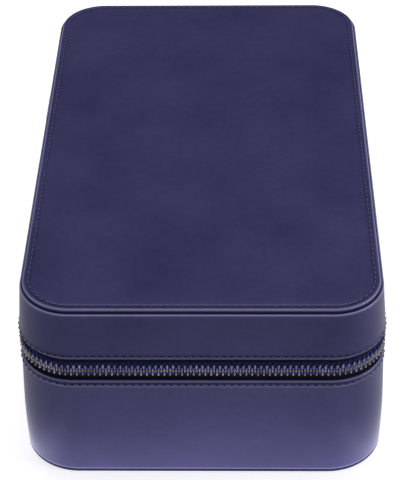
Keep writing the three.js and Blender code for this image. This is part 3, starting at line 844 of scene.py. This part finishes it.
def zip_tape(name, body, node, up):
    """The woven tape: a flat strip behind the leather, thickening to a corded edge by the teeth."""
    low, high = box_mm(node)
    far = high.z if up > 0 else low.z
    reach = abs(far - PARTING)
    first = box_mm("hinge_leather_base_leaf")[1].x + 0.1
    distance = np.linspace(first, perimeter() - first, math.ceil((perimeter() - 2 * first) / 0.6))
    levels = np.linspace(reach, TAPE_EDGE, 12)
    outer = [(TAPE_FACE - RIB_DEPTH * (k % 2), z) for k, z in enumerate(levels)]
    bead = [
        (CORD_INSET - CORD_HALF_DEPTH * math.sin(a), CORD_HEIGHT - CORD_HALF_HEIGHT * math.cos(a))
        for a in np.radians(range(150, -121, -30))
    ]
    inner = [(TAPE_BACK, z) for z in np.linspace(TAPE_EDGE, reach, 4)]
    profile = np.array(outer + bead + inner)
    rows, columns = len(distance), len(profile)
    offset = np.tile(profile[:, 1], (rows, 1))
    weave = RIB_DEPTH * np.sin(distance[:, None] / RIB_LENGTH * 2 * math.pi)
    inset = profile[:, 0] - weave * (np.abs(offset - CORD_HEIGHT) < CORD_HALF_HEIGHT)
    if up > 0:
        inset = inset + lean(PARTING + offset)
    near = np.clip((5.5 - offset) / 3.0, 0, 1)
    height = PARTING + up * (offset + spread_open(distance)[:, None] * near)
    points = place(distance[:, None], 0.0, inset, height)
    # Painted shade away from the teeth: 0 turns the tape near-black navy, 1 leaves it royal blue.
    unshaded_near_teeth = np.clip((3.3 - offset) / 0.7, 0, 1)
    piece = closed_mesh(name, points, capped_faces(rows, columns), unshaded_near_teeth)
    finish_piece(piece, body, "zip_tape", node)


zip_teeth("zip_teeth_base", "base", "base_zip_teeth", -1, 0.0)
zip_teeth("zip_teeth_lid", "lid", "lid_zip_teeth", 1, 0.5)
zip_tape("zip_tape_lower", "base", "base_zip_tape", -1)
zip_tape("zip_tape_upper", "lid", "lid_zip_tape", 1)


# ---- Shells swept from sections ----------------------------------------------------------
def shell(points):
    """A closed tube: the points and faces of sections (rows, columns, 3) with flat ends."""
    points = np.asarray(points, float)
    return points.reshape(-1, 3), capped_faces(*points.shape[:2])


def joined(name, *shells):
    """One piece from several closed shells."""
    points, faces = [], []
    total = 0
    for shell_points, shell_faces in shells:
        points.append(shell_points)
        faces += [tuple(total + k for k in face) for face in shell_faces]
        total += len(shell_points)
    return closed_mesh(name, np.concatenate(points), faces)


def rounded_box(low, high, radius, steps=4):
    """A box with rounded edges, as a stack of rounded rectangles that close in at both ends."""
    low, high = np.array(low, float), np.array(high, float)
    middle, half = (low + high) / 2, (high - low) / 2
    radius = min(radius, *(half * 0.98))
    quarter = np.linspace(0, math.pi / 2, steps + 1)
    corners = []
    for sx, sy, start in ((1, 1, 0), (-1, 1, 90), (-1, -1, 180), (1, -1, 270)):
        for a in math.radians(start) + quarter:
            corners.append((sx, sy, math.cos(a), math.sin(a)))
    corners = np.array(corners)
    sections = []
    for end in (-1, 1):
        for a in quarter if end < 0 else quarter[::-1]:
            reach = radius * math.sin(a)
            x = corners[:, 0] * (half[0] - radius) + corners[:, 2] * reach
            y = corners[:, 1] * (half[1] - radius) + corners[:, 3] * reach
            z = np.full(len(corners), end * (half[2] - radius + radius * math.cos(a)))
            sections.append(np.stack([x, y, z], -1))
    return shell(np.array(sections) + middle)


def plate(outline_yz, x0, x1, bevel):
    """A flat plate across X whose outline is given in Y and Z, with bevelled edges."""
    outline_yz = np.asarray(outline_yz, float)
    ahead = np.roll(outline_yz, -1, 0) - np.roll(outline_yz, 1, 0)
    inward = np.stack([-ahead[:, 1], ahead[:, 0]], -1)
    inward /= np.linalg.norm(inward, axis=1, keepdims=True)
    sections = []
    near_side = [(x0, bevel), (x0 + bevel * 0.3, bevel * 0.3), (x0 + bevel, 0)]
    far_side = [(x1 - bevel, 0), (x1 - bevel * 0.3, bevel * 0.3), (x1, bevel)]
    for x, sink in near_side + far_side:
        yz = outline_yz + inward * sink
        sections.append(np.column_stack([np.full(len(yz), x), yz]))
    return shell(sections)


def tube(path, half_in, half_out, across, closed=False, sides=10):
    """A bar along a path. Its section is an oval, half_out along the direction across."""
    path = np.asarray(path, float)
    if closed:
        run = np.roll(path, -1, 0) - np.roll(path, 1, 0)
    else:
        run = np.gradient(path, axis=0)
    run /= np.linalg.norm(run, axis=1, keepdims=True)
    out = np.broadcast_to(np.asarray(across, float), path.shape)
    side = np.cross(run, out)
    turn = np.linspace(0, 2 * math.pi, sides, endpoint=False)
    ring = side[:, None] * np.cos(turn)[None, :, None] * half_in
    ring = path[:, None] + ring + out[:, None] * np.sin(turn)[None, :, None] * half_out
    if not closed:
        return shell(ring)
    return ring.reshape(-1, 3), grid_faces(len(path), sides, True, True)


def bent_path(corners, radius, closed=False, steps=5):
    """A path through 3-D corners, turning each on a radius."""
    corners = np.asarray(corners, float)
    count = len(corners)
    points = []
    for i in range(count):
        if not closed and i in (0, count - 1):
            points.append(corners[i])
            continue
        back = corners[i - 1] - corners[i]
        ahead = corners[(i + 1) % count] - corners[i]
        back /= np.linalg.norm(back)
        ahead /= np.linalg.norm(ahead)
        for t in np.linspace(0, 1, steps + 1):
            points.append(corners[i] + radius * ((1 - t) ** 2 * back + t**2 * ahead))
    return np.array(points)


# ---- Hinge -------------------------------------------------------------------------------
BELLY_REACH = 3.2  # and over which its leather bulges outwards


def hinge_strip(name, slot, outer, inner, belly, leans_from):
    """A flexible strip across the back, from inside the base's wall to inside the lid's. Above
    the height leans_from it leans with the lid."""
    nodes = f"{name}_base_leaf", f"{name}_lid_leaf"
    low, high = box_mm(nodes[0])[0], box_mm(nodes[1])[1]
    across = np.linspace(low.x, high.x, 60)
    heights = np.linspace(low.z, high.z, 41)
    bulge = belly * np.exp(-(((heights - PARTING) / BELLY_REACH) ** 2))
    leaning = LEAN_SLOPE * np.maximum(heights - leans_from, 0)
    outside = np.column_stack([outer + leaning - bulge, heights])
    inside = np.column_stack([inner + leaning - bulge, heights])[::-1]
    section = np.concatenate([outside, inside])
    soft_ends = 1 - 0.5 * (np.abs(across) > high.x - 0.5)
    middle = (outer + inner) / 2
    sections = []
    for x, thick in zip(across, soft_ends):
        inset = middle + (section[:, 0] - middle) * thick
        sections.append(np.column_stack([np.full(len(section), x), HALF_LENGTH - inset, section[:, 1]]))
    strip = joined(name, shell(sections))
    finish_piece(strip, None, slot, *nodes)
    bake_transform(strip)


hinge_strip("hinge_leather", "navy_leather", 1.42, 2.0, 0.45, LID_LOW.z)
hinge_strip("hinge_cloth", "grey_suede", 7.5, 7.95, 0.0, PARTING)


# ---- Linings and tray --------------------------------------------------------------------
TUB_SPACING = 3.0
TUB_FILL_STEPS = 6


def tub(name, profile, leaning=None):
    """A tub: an open profile of (inset, height), from its underside over its rim to its floor,
    carried round the case, with the underside and the floor filled across."""
    profile = np.array(profile)
    rows = math.ceil(perimeter() / TUB_SPACING)
    distance = np.linspace(0, perimeter(), rows, endpoint=False)
    inset = profile[:, 0] + (leaning(profile[:, 1]) if leaning else 0)
    ring = place(distance[:, None], 0, inset, profile[:, 1])
    columns = [ring[:, k] for k in range(len(profile))]
    for share in np.linspace(0, 1, TUB_FILL_STEPS + 1)[1:]:
        floor_ring = np.column_stack([panel_fill(ring[:, -1], share), ring[:, -1, 2]])
        under_ring = np.column_stack([panel_fill(ring[:, 0], share), ring[:, 0, 2]])
        columns.append(floor_ring)
        columns.insert(0, under_ring)
    grid = np.stack(columns, 1)
    return closed_mesh(name, grid, grid_faces(rows, grid.shape[1], True, False))


def turned(middle, radius, start, end, steps):
    """Points of (inset, height) on an arc between two angles in degrees."""
    angles = np.radians(np.linspace(start, end, steps + 1))
    return [(middle[0] + radius * math.cos(a), middle[1] + radius * math.sin(a)) for a in angles]


def spaced(first, last, count):
    return [tuple(p) for p in np.linspace(first, last, count)]


RIM_OUTER = 5.15
RIM_INNER = 7.4
LEDGE_INSET = 2.15
LEDGE_THICKNESS = 0.35
FILLET = 1.6


def rim_and_walls(rim, ledge, floor, under, up):
    """The profile of a lined tub whose rim faces up (up = 1) or down (up = -1): ledge is the
    height of the step behind the zip, and under and floor are its outer and inner floor."""
    round_rim = (RIM_INNER - RIM_OUTER) / 2
    middle = ((RIM_OUTER + RIM_INNER) / 2, rim - up * round_rim)
    profile = [(RIM_OUTER + 3, under), (RIM_OUTER + 0.5, under), (RIM_OUTER, under + up * 0.5)]
    profile += spaced((RIM_OUTER, under + up * 2), (RIM_OUTER, ledge - up * 0.3), 8)
    ledge_top = ledge + up * LEDGE_THICKNESS
    profile += [(RIM_OUTER, ledge), (LEDGE_INSET, ledge), (LEDGE_INSET, ledge_top)]
    profile += [(RIM_OUTER - 0.3, ledge_top), (RIM_OUTER, ledge + up * (LEDGE_THICKNESS + 0.4))]
    profile += turned(middle, round_rim, 180, 0 if up > 0 else 360, 8)
    profile += spaced((RIM_INNER, rim - up * 3), (RIM_INNER, floor + up * (FILLET + 1)), 9)
    corner = (RIM_INNER + FILLET, floor + up * FILLET)
    profile += turned(corner, FILLET, 180, 270 if up > 0 else 90, 5)
    return profile


def base_lining():
    low, high = box_mm("base_suede_lining")
    floor = low.z + 0.7
    profile = rim_and_walls(high.z, BAND_HIGH.z - 0.03, floor, low.z, 1)
    lining = tub("base_lining", profile)
    finish_piece(lining, "base", "grey_suede", "base_rim_board", "base_suede_lining")


def lid_lining():
    low, high = box_mm("lid_suede_lining")
    ceiling = high.z - 0.7
    profile = rim_and_walls(low.z, LID_LOW.z + 0.03, ceiling, high.z, -1)
    lining = tub("lid_lining", profile, lambda z: LEAN_SLOPE * (z - PARTING))
    finish_piece(lining, "lid", "grey_suede", "lid_rim_board", "lid_suede_lining")


TRAY_LOW, TRAY_HIGH = box_mm("tray_shell")
TRAY_OUTER = HALF_WIDTH - TRAY_HIGH.x
TRAY_INNER = TRAY_OUTER + 2.7
TRAY_FLOOR = TRAY_LOW.z + 2.7


def tray_tub():
    round_rim = (TRAY_INNER - TRAY_OUTER) / 2
    middle = ((TRAY_INNER + TRAY_OUTER) / 2, TRAY_HIGH.z - round_rim)
    profile = [(TRAY_OUTER + 4, TRAY_LOW.z), (TRAY_OUTER + 1, TRAY_LOW.z)]
    profile += turned((TRAY_OUTER + 1, TRAY_LOW.z + 1), 1.0, 270, 180, 4)
    profile += spaced((TRAY_OUTER, TRAY_LOW.z + 3), (TRAY_OUTER, middle[1] - 1), 7)
    profile += turned(middle, round_rim, 180, 0, 8)
    profile += spaced((TRAY_INNER, middle[1] - 1), (TRAY_INNER, TRAY_FLOOR + FILLET + 1), 6)
    profile += turned((TRAY_INNER + FILLET, TRAY_FLOOR + FILLET), FILLET, 180, 270, 5)
    piece = tub("tray_tub", profile)
    finish_piece(piece, "tray", "grey_suede", "tray_shell", "tray_suede_lining")


base_lining()
lid_lining()
tray_tub()


# ---- Padded walls ------------------------------------------------------------------------
def padded_wall(body, node):
    """A divider wrapped in suede: upright, with a rounded top and a slight dip along it."""
    low, high = (np.array(corner) for corner in box_mm(node))
    along = 0 if high[0] - low[0] > high[1] - low[1] else 1
    across = 1 - along
    half = (high[across] - low[across]) / 2
    centre = (high[across] + low[across]) / 2
    length = high[along] - low[along]
    rounding = [(half * math.cos(a), half * math.sin(a)) for a in np.radians(range(0, 181, 20))]
    sections = []
    for share in np.linspace(0, 1, max(6, math.ceil(length / 4))):
        dip = 0.35 * math.sin(share * math.pi) ** 2
        top = high[2] - half - dip
        column = [(half, low[2]), *spaced((half, low[2] + 1), (half, top - 0.5), 6)]
        column += [(c, top + s) for c, s in rounding]
        column += [*spaced((-half, top - 0.5), (-half, low[2] + 1), 6), (-half, low[2])]
        column = np.array(column)
        section = np.zeros((len(column), 3))
        section[:, along] = low[along] + share * length
        section[:, across] = centre + column[:, 0]
        section[:, 2] = column[:, 1]
        sections.append(section)
    wall = joined(f"{node}_padded", shell(sections))
    finish_piece(wall, body, "grey_suede", node)


for wall_node in ("lower_divider_front", "lower_divider_rear", "lower_divider_lengthwise"):
    padded_wall("base", wall_node)
for wall_node in ("tray_divider_crosswise", "tray_divider_lengthwise", "tray_divider_short"):
    padded_wall("tray", wall_node)


# ---- Soft goods: the ring rolls and the lid's pad ----------------------------------------
ROLL_SWELL = 0.7  # room left inside each soft CAD solid for the stuffing to swell into
PAD_SWELL = 2.4
PAD_GRID = (31, 51)
PAD_EDGE = 1.2  # how far the rounded edge of the pad's face lies in from its side
SOFT_FRAMES = 20
TRAY_CORNER = CORNER_RADIUS - TRAY_INNER - 0.3


def roll_reach(y):
    """How far a ring roll reaches to each side at y, inside the tray's rounded corners."""
    straight = HALF_WIDTH - TRAY_INNER - 0.4
    past = np.clip(np.abs(y) - HALF_Y, 0, TRAY_CORNER * 0.999)
    return straight - TRAY_CORNER + np.sqrt(TRAY_CORNER**2 - past**2)


def ring_roll(node):
    """A stuffed roll, flat underneath, before it swells."""
    low, high = box_mm(node)
    half = (high.y - low.y) / 2 - ROLL_SWELL * 0.5
    top = high.z - ROLL_SWELL
    centre = (high.y + low.y) / 2
    dome = [(half * math.cos(a), top - half + half * math.sin(a)) for a in np.radians(range(0, 181, 15))]
    flank = [(half, low.z), (half, low.z + 2.2), (half, low.z + 4.4)]
    under = [(-y, z) for y, z in flank[::-1]] + [(-half / 3, low.z), (half / 3, low.z)]
    outline_yz = np.array(flank + dome + under)
    sections = []
    for share in np.linspace(-1, 1, 33):
        ease = max(0.0, abs(share) - 0.95) / 0.05
        shrink = 1 - 0.2 * ease**2
        y = centre + outline_yz[:, 0] * shrink
        z = low.z + (outline_yz[:, 1] - low.z) * shrink
        sections.append(np.column_stack([share * roll_reach(y), y, z]))
    roll = joined(f"{node}_stuffed", shell(sections))
    pinned = [v.index for v in roll.data.vertices if v.co.z < (low.z + 0.3) * MM]
    return roll, pinned


def rounded_sheet(half_x, half_y, radius, columns, rows):
    """A grid of (x, y) that fills a rounded rectangle, its border following the round corners."""
    x, y = np.meshgrid(
        np.linspace(-half_x, half_x, columns), np.linspace(-half_y, half_y, rows), indexing="ij"
    )
    past_x = np.clip((np.abs(x) - half_x) / radius + 1, 0, 1)
    past_y = np.clip((np.abs(y) - half_y) / radius + 1, 0, 1)
    bent_x = np.minimum(np.abs(x), half_x - radius) + radius * past_x * np.sqrt(1 - past_y**2 / 2)
    bent_y = np.minimum(np.abs(y), half_y - radius) + radius * past_y * np.sqrt(1 - past_x**2 / 2)
    return np.stack([np.sign(x) * bent_x, np.sign(y) * bent_y], -1)


def lid_pad():
    """A thin cushion glued to the lid's ceiling, before it swells."""
    low, high = box_mm("lid_pad")
    face = low.z + PAD_SWELL
    columns, rows = PAD_GRID
    sheet = rounded_sheet(high.x, high.y, CORNER_RADIUS - (HALF_WIDTH - high.x), columns, rows)
    rim = [(i, 0) for i in range(columns - 1)] + [(columns - 1, j) for j in range(rows - 1)]
    rim += [(i, rows - 1) for i in range(columns - 1, 0, -1)] + [(0, j) for j in range(rows - 1, 0, -1)]
    rim = np.array([i * rows + j for i, j in rim])
    flat = sheet.reshape(-1, 2)
    levels = [(face + 0.4, 0.3), (face + 1.4, 0), ((face + high.z) / 2, 0), (high.z - 1, 0)]
    points = [np.column_stack([flat * (1 - PAD_EDGE / high.x), np.full(len(flat), face)])]
    for height, shrink in levels:
        ring = flat[rim] * (1 - shrink / high.x)
        points.append(np.column_stack([ring, np.full(len(rim), height)]))
    points.append(np.column_stack([flat, np.full(len(flat), high.z)]))
    loops = [rim] + [len(flat) + k * len(rim) + np.arange(len(rim)) for k in range(len(levels))]
    back = len(flat) + len(levels) * len(rim)
    loops.append(back + rim)
    faces = grid_faces(columns, rows, False, False) + grid_faces(columns, rows, False, False, back)
    for lower, upper in zip(loops, loops[1:]):
        for k in range(len(rim)):
            faces.append((lower[k - 1], lower[k], upper[k], upper[k - 1]))
    pad = closed_mesh("lid_pad_cushion", np.concatenate(points), faces)
    pinned = [v.index for v in pad.data.vertices if v.co.z > (high.z - 0.3) * MM]
    return pad, pinned


def stuff(soft):
    """Stuffs every soft piece at once by cloth simulation, each kept within its own limit."""
    scene = bpy.context.scene
    for piece, pinned, limit in soft:
        held = piece.vertex_groups.new(name="held")
        held.add(pinned, 1.0, "REPLACE")
        cloth = piece.modifiers.new("cloth", "CLOTH")
        cloth.settings.quality = 6
        cloth.settings.use_pressure = True
        cloth.settings.uniform_pressure_force = 4.0
        cloth.settings.vertex_group_mass = "held"
        cloth.settings.effector_weights.gravity = 0
        cloth.settings.tension_stiffness = 8
        cloth.settings.bending_stiffness = 0.6
        cloth.collision_settings.use_collision = False
    for frame_number in range(1, SOFT_FRAMES + 1):
        scene.frame_set(frame_number)
    settled = bpy.context.evaluated_depsgraph_get()
    for piece, _, limit in soft:
        after = piece.evaluated_get(settled).to_mesh()
        for vertex, moved in zip(piece.data.vertices, after.vertices):
            step = moved.co - vertex.co
            if step.length > limit * MM:
                step *= limit * MM / step.length
            vertex.co += step
        piece.evaluated_get(settled).to_mesh_clear()
        piece.modifiers.clear()
    scene.frame_set(1)


CREASE_DEPTH = 0.35
CREASE_RUN = 7.0  # distance in from a roll's end over which its creases fade
CREASES = (4.1, 2.3)  # how fast they ripple along y and z, in radians per mm


def gather(piece, end):
    """Fine creases that run in from both ends of a roll, where its cover is drawn tight."""
    for vertex in piece.data.vertices:
        away = (end - abs(vertex.co.x) / MM) / CREASE_RUN
        ripple = math.sin(vertex.co.y / MM * CREASES[0] + vertex.co.z / MM * CREASES[1])
        vertex.co.z -= max(0.0, ripple) * CREASE_DEPTH * MM * math.exp(-max(0.0, away))


def soft_goods():
    soft = []
    rolls = [f"ring_roll_{i + 1}" for i in range(7)]
    for node in rolls:
        roll, pinned = ring_roll(node)
        soft.append((roll, pinned, ROLL_SWELL))
    pad, pinned = lid_pad()
    soft.append((pad, pinned, PAD_SWELL))
    stuff(soft)
    for (piece, _, _), node in zip(soft, rolls):
        gather(piece, HALF_WIDTH - TRAY_INNER)
        finish_piece(piece, "tray", "grey_suede", node)
    finish_piece(pad, "lid", "grey_suede", "lid_pad")
    for piece, _, _ in soft:
        piece.modifiers.new("smooth", "SUBSURF").render_levels = 1


soft_goods()


# ---- Slider, pull and tabs ---------------------------------------------------------------
SLIDER_X = -HALF_WIDTH
PLATE_OUT = (-1.4, -0.6)  # the slider's outer plate and inner plate, as insets
PLATE_IN = (2.2, 3.0)
PIVOT = np.array([box_mm("pull_link")[0].x + 0.45, SLIDER_Y - 1.5, PARTING])


def slider_outline():
    """The plate seen from outside: a narrow tail, shoulders, and a rounded nose."""
    half = (SLIDER_HIGH.y - SLIDER_LOW.y) / 2
    upper = [(-half + 0.9, 3.7), (-half * 0.5, 3.62), (0, 3.7), (half / 6, 4.1), (half / 3, 4.5)]
    nose = [
        (half / 3 + (half * 2 / 3) * math.sin(a), 4.5 * math.cos(a) ** 0.8)
        for a in np.radians(range(12, 90, 13))
    ]
    tail = [(-half + 0.25, 3.45), (-half, 2.9)]
    top = tail[::-1] + upper + nose
    points = top + [(half, 0.0)] + [(y, -z) for y, z in reversed(top)]
    return np.array([(SLIDER_Y + y, PARTING + z) for y, z in reversed(points)])


def slider():
    shape = slider_outline()
    shells = [plate(shape, SLIDER_X + x0, SLIDER_X + x1, 0.28) for x0, x1 in (PLATE_OUT, PLATE_IN)]
    post_low = (SLIDER_X + PLATE_OUT[1] - 0.3, SLIDER_Y + 3, PARTING - 0.2)
    post_high = (SLIDER_X + PLATE_IN[0] + 0.3, SLIDER_Y + 6, PARTING + 0.2)
    shells.append(rounded_box(post_low, post_high, 0.15))
    out = SLIDER_LOW.x + 0.35
    root = SLIDER_X + PLATE_OUT[0] + 0.3
    near, far = PIVOT[1] - 3.0, PIVOT[1] + 3.0
    loop = [(x, y, PARTING) for x, y in ((root, near), (out, near), (out, far), (root, far))]
    shells.append(tube(bent_path(loop, 0.9), 0.35, 0.6, (0, 0, 1)))
    piece = joined("slider_body", *shells)
    finish_piece(piece, "zip_slider", "zip_metal", "zip_slider")


def pull_link():
    low, high = box_mm("pull_link")
    wide = (high.z - low.z) / 2 - 0.55
    x, near, far = PIVOT[0], high.y - 0.45, low.y + 0.45
    corners = (near, -wide), (near, wide), (far, wide), (far, -wide)
    path = bent_path([(x, y, PARTING + z) for y, z in corners], 1.1, closed=True)
    piece = joined("pull_ring", tube(path, 0.55, 0.45, (1, 0, 0), closed=True))
    finish_piece(piece, "zip_pull", "zip_metal", "pull_link")


TAB_LOW, TAB_HIGH = box_mm("pull_leather_tab")


def tab_outline(shrink=0.0):
    """The pull's leather from outside: a folded neck on the link, shoulders and a round tip."""
    half = (TAB_HIGH.z - TAB_LOW.z) / 2 - shrink
    neck = 2.3 - shrink
    start = TAB_HIGH.y - shrink
    end = TAB_LOW.y + shrink
    tip = [(end + half * (1 - math.sin(a)), half * math.cos(a)) for a in np.radians(range(0, 90, 10))]
    upper = [(start, neck * 0.7), (start - 0.5, neck), (start - 2.4, neck), (start - 3.0, neck + 0.4)]
    upper += [(start - 3.6, half - 0.5), (start - 4.3, half)]
    upper += spaced((start - 6.5, half), (end + half + 1, half), 6) + tip
    points = upper + [(end, 0.0)] + [(y, -z) for y, z in reversed(upper)]
    return np.array([(y, PARTING + z) for y, z in points])


def little_stitches(places, runs, outward, length=1.7, radius=0.17):
    """Short stitches lying on a face, at places, along runs, standing off it outward."""
    shells = []
    for at, run in zip(places, runs):
        arch = (-0.5, -0.1), (-0.3, 0.07), (0, 0.1), (0.3, 0.07), (0.5, -0.1)
        spine = [at + run * length * share + outward * lift for share, lift in arch]
        side = np.cross(run, outward)
        shells.append(tube(np.array(spine), radius * 0.8, radius, side, sides=6))
    return shells


def pull_tab():
    piece = joined("pull_tab", plate(tab_outline(), TAB_LOW.x, TAB_HIGH.x, 0.5))
    finish_piece(piece, "zip_pull", "navy_leather", "pull_leather_tab")
    seam = tab_outline(1.0)
    steps = np.concatenate([[0], np.cumsum(np.linalg.norm(np.diff(seam, axis=0), axis=1))])
    shells = []
    for face, out in ((TAB_LOW.x, -1.0), (TAB_HIGH.x, 1.0)):
        spots = np.arange(6.0, steps[-1] - 6.0, 2.4)
        yz = np.stack([np.interp(spots, steps, seam[:, k]) for k in (0, 1)], -1)
        ahead = np.stack([np.interp(spots + 0.4, steps, seam[:, k]) for k in (0, 1)], -1) - yz
        ahead /= np.linalg.norm(ahead, axis=1, keepdims=True)
        places = np.column_stack([np.full(len(yz), face), yz])
        runs = np.column_stack([np.zeros(len(yz)), ahead])
        shells += little_stitches(places, runs, np.array([out, 0.0, 0.0]))
    thread = joined("pull_tab_stitches", *shells)
    finish_piece(thread, "zip_pull", "navy_thread")


def tray_pull(node):
    """A folded leather tab inside the tray's side wall, made as one plate with an arched top; the
    stitching across near its foot is not drawn.
    """
    low, high = box_mm(node)
    half = (high.y - low.y) / 2
    centre = (high.y + low.y) / 2
    arch = [
        (centre + half * math.cos(a), high.z - 6 + 6 * math.sin(a))
        for a in np.radians(range(0, 181, 12))
    ]
    left, right = centre - half, centre + half
    sides = [(left, high.z - 7), (left, low.z), (right, low.z), (right, high.z - 7)]
    piece = joined(f"{node}_leather", plate((arch + sides)[::-1], low.x, high.x, 0.5))
    finish_piece(piece, "tray", "navy_leather", node)


STOP_ANGLE = math.radians(78)  # round each back corner
STOP_HALF_LENGTH = 0.6
STOP_HALF_DEPTH = 1.05


def zip_stop(body, end_side):
    """A crimped metal stop that grips the end of one tape."""
    at = marks()[1] + (math.pi / 2 - STOP_ANGLE) * CORNER_RADIUS
    if end_side == "right":
        at = perimeter() - at
    near, far = (PARTING - 3.0, PARTING - 0.45) if body == "base" else (PARTING + 0.45, PARTING + 3.0)
    low = (at - STOP_HALF_LENGTH, TOOTH_MIDDLE - STOP_HALF_DEPTH, near)
    high = (at + STOP_HALF_LENGTH, TOOTH_MIDDLE + STOP_HALF_DEPTH, far)
    points, faces = rounded_box(low, high, 0.45)
    bent = place(points[:, 0], 0.0, points[:, 1], points[:, 2])
    node = f"{body}_zip_stop_{end_side}"
    piece = joined(f"{node}_crimped", (bent, faces))
    finish_piece(piece, body, "zip_metal", node)


slider()
pull_link()
pull_tab()
for end_side in ("left", "right"):
    tray_pull(f"tray_pull_{end_side}")
    zip_stop("base", end_side)
    zip_stop("lid", end_side)


# ---- Stage, lights and camera ------------------------------------------------------------
CAMERA_AT = (13.57, -609.35, 500.65)
CAMERA_PITCH = 37.781
CAMERA_YAW = -1.489
CAMERA_ROLL = -0.939
FOCAL_LENGTHS = 3.4143  # focal length over the picture's longer side
SENSOR = 36.0
GLOW_NEAR = 1.95  # the floor's glow beside the case's walls, and well away from them
GLOW_FAR = 0.05
GLOW_REACH = 37.0
GLOW_COLOUR = (0.97, 0.96, 1.16)  # of the light that the case gets from the floor
SIDE_FALL = 3.4  # how much faster the glow falls away beside the long sides
FLOOR_HALF = 4000.0
FLOOR_TO_CAMERA = 0.62
SKY_TO_CASE = 0.125
SKY_TO_CAMERA = 0.95
LIGHTS = (  # name, place, aim, size and watts
    ("overhead", (0, 150, 900), (0, 0, 60), (700, 500), 4.2),
    ("key", (-150, -700, 900), (0, 0, 50), (420, 300), 0.4),
    ("right", (800, -250, 300), (0, -60, 40), (400, 300), 3.1),
    ("left", (-800, -250, 300), (0, -60, 40), (400, 300), 1.0),
)


def camera():
    pitch, yaw, roll = (math.radians(a) for a in (CAMERA_PITCH, CAMERA_YAW, CAMERA_ROLL))
    ahead = Vector((math.sin(yaw) * math.cos(pitch), math.cos(yaw) * math.cos(pitch), -math.sin(pitch)))
    right = Vector((math.cos(yaw), -math.sin(yaw), 0))
    up = right.cross(ahead)
    rolled_right = math.cos(roll) * right + math.sin(roll) * up
    rolled_up = math.cos(roll) * up - math.sin(roll) * right
    turn = Matrix((rolled_right, rolled_up, -ahead)).transposed().to_4x4()
    data = bpy.data.cameras.new("camera")
    data.sensor_width = SENSOR
    data.lens = FOCAL_LENGTHS * SENSOR
    data.clip_start = 0.01
    eye = bpy.data.objects.new("camera", data)
    eye.matrix_world = Matrix.Translation(Vector(CAMERA_AT) * MM) @ turn
    bpy.context.scene.collection.objects.link(eye)
    bpy.context.scene.camera = eye


def area_light(name, at, towards, size, watts):
    data = bpy.data.lights.new(name, "AREA")
    data.shape = "RECTANGLE"
    data.size, data.size_y = size[0] * MM, size[1] * MM
    data.energy = watts
    lamp = bpy.data.objects.new(name, data)
    lamp.location = Vector(at) * MM
    lamp.rotation_euler = (Vector(towards) - Vector(at)).to_track_quat("-Z", "Y").to_euler()
    bpy.context.scene.collection.objects.link(lamp)


def floor():
    """A white sweep. To the case it glows near its walls and dims further off: a painted glow from the
    floor itself, standing in for the light that lit paper bounces; to the camera it is evenly white
    with a faint contact shadow."""
    n = Nodes("pale_floor")
    white = n.ramp(n.noise(9, 2), (0.3, (0.90, 0.90, 0.91)), (0.7, (0.93, 0.93, 0.94)))
    n.set(Base_Color=white, Roughness=0.9)
    apart = n.add("ShaderNodeSeparateXYZ")
    n.join(n.place, apart.inputs[0])
    beyond = []
    for axis, side in (("X", HALF_WIDTH), ("Y", HALF_LENGTH)):
        outside = n.math("SUBTRACT", n.math("ABSOLUTE", apart.outputs[axis], 0.0), side * MM)
        outside = n.math("MULTIPLY", outside, SIDE_FALL if axis == "X" else 1.0)
        beyond.append(n.math("MAXIMUM", outside, 0.0))
    squares = [n.math("MULTIPLY", past, past) for past in beyond]
    away = n.math("POWER", n.math("ADD", *squares), 0.5)
    fall = n.math("EXPONENT", n.math("MULTIPLY", away, -1 / (GLOW_REACH * MM)), 0.0)
    glow = n.math("ADD", n.math("MULTIPLY", fall, GLOW_NEAR - GLOW_FAR), GLOW_FAR)
    seen = n.add("ShaderNodeLightPath").outputs["Is Camera Ray"]
    to_camera = n.math("MULTIPLY", seen, FLOOR_TO_CAMERA)
    to_case = n.math("MULTIPLY", n.math("SUBTRACT", 1.0, seen), glow)
    strength = n.math("ADD", to_camera, to_case)
    n.set(Emission_Color=n.mix(seen, GLOW_COLOUR, (1.0, 1.0, 1.0)), Emission_Strength=strength)
    corners = [(x * FLOOR_HALF, y * FLOOR_HALF, 0) for x, y in ((-1, -1), (1, -1), (1, 1), (-1, 1))]
    ground = new_mesh("floor", corners, [(0, 1, 2, 3)])
    ground.data.materials.append(n.material)
    ground.location.z = -0.02 * MM


def world():
    """Pale to the camera, dim to the case, so that glossy leather stays dark."""
    sky = bpy.data.worlds.new("studio")
    sky.use_nodes = True
    tree = sky.node_tree
    background = tree.nodes["Background"]
    background.inputs["Color"].default_value = (0.97, 0.97, 1.0, 1)
    path = tree.nodes.new("ShaderNodeLightPath")
    level = tree.nodes.new("ShaderNodeMapRange")
    level.inputs["To Min"].default_value = SKY_TO_CASE
    level.inputs["To Max"].default_value = SKY_TO_CAMERA
    tree.links.new(path.outputs["Is Camera Ray"], level.inputs["Value"])
    tree.links.new(level.outputs[0], background.inputs["Strength"])
    bpy.context.scene.world = sky


camera()
floor()
world()
for light in LIGHTS:
    area_light(*light)
bpy.context.scene.view_settings.view_transform = "Standard"
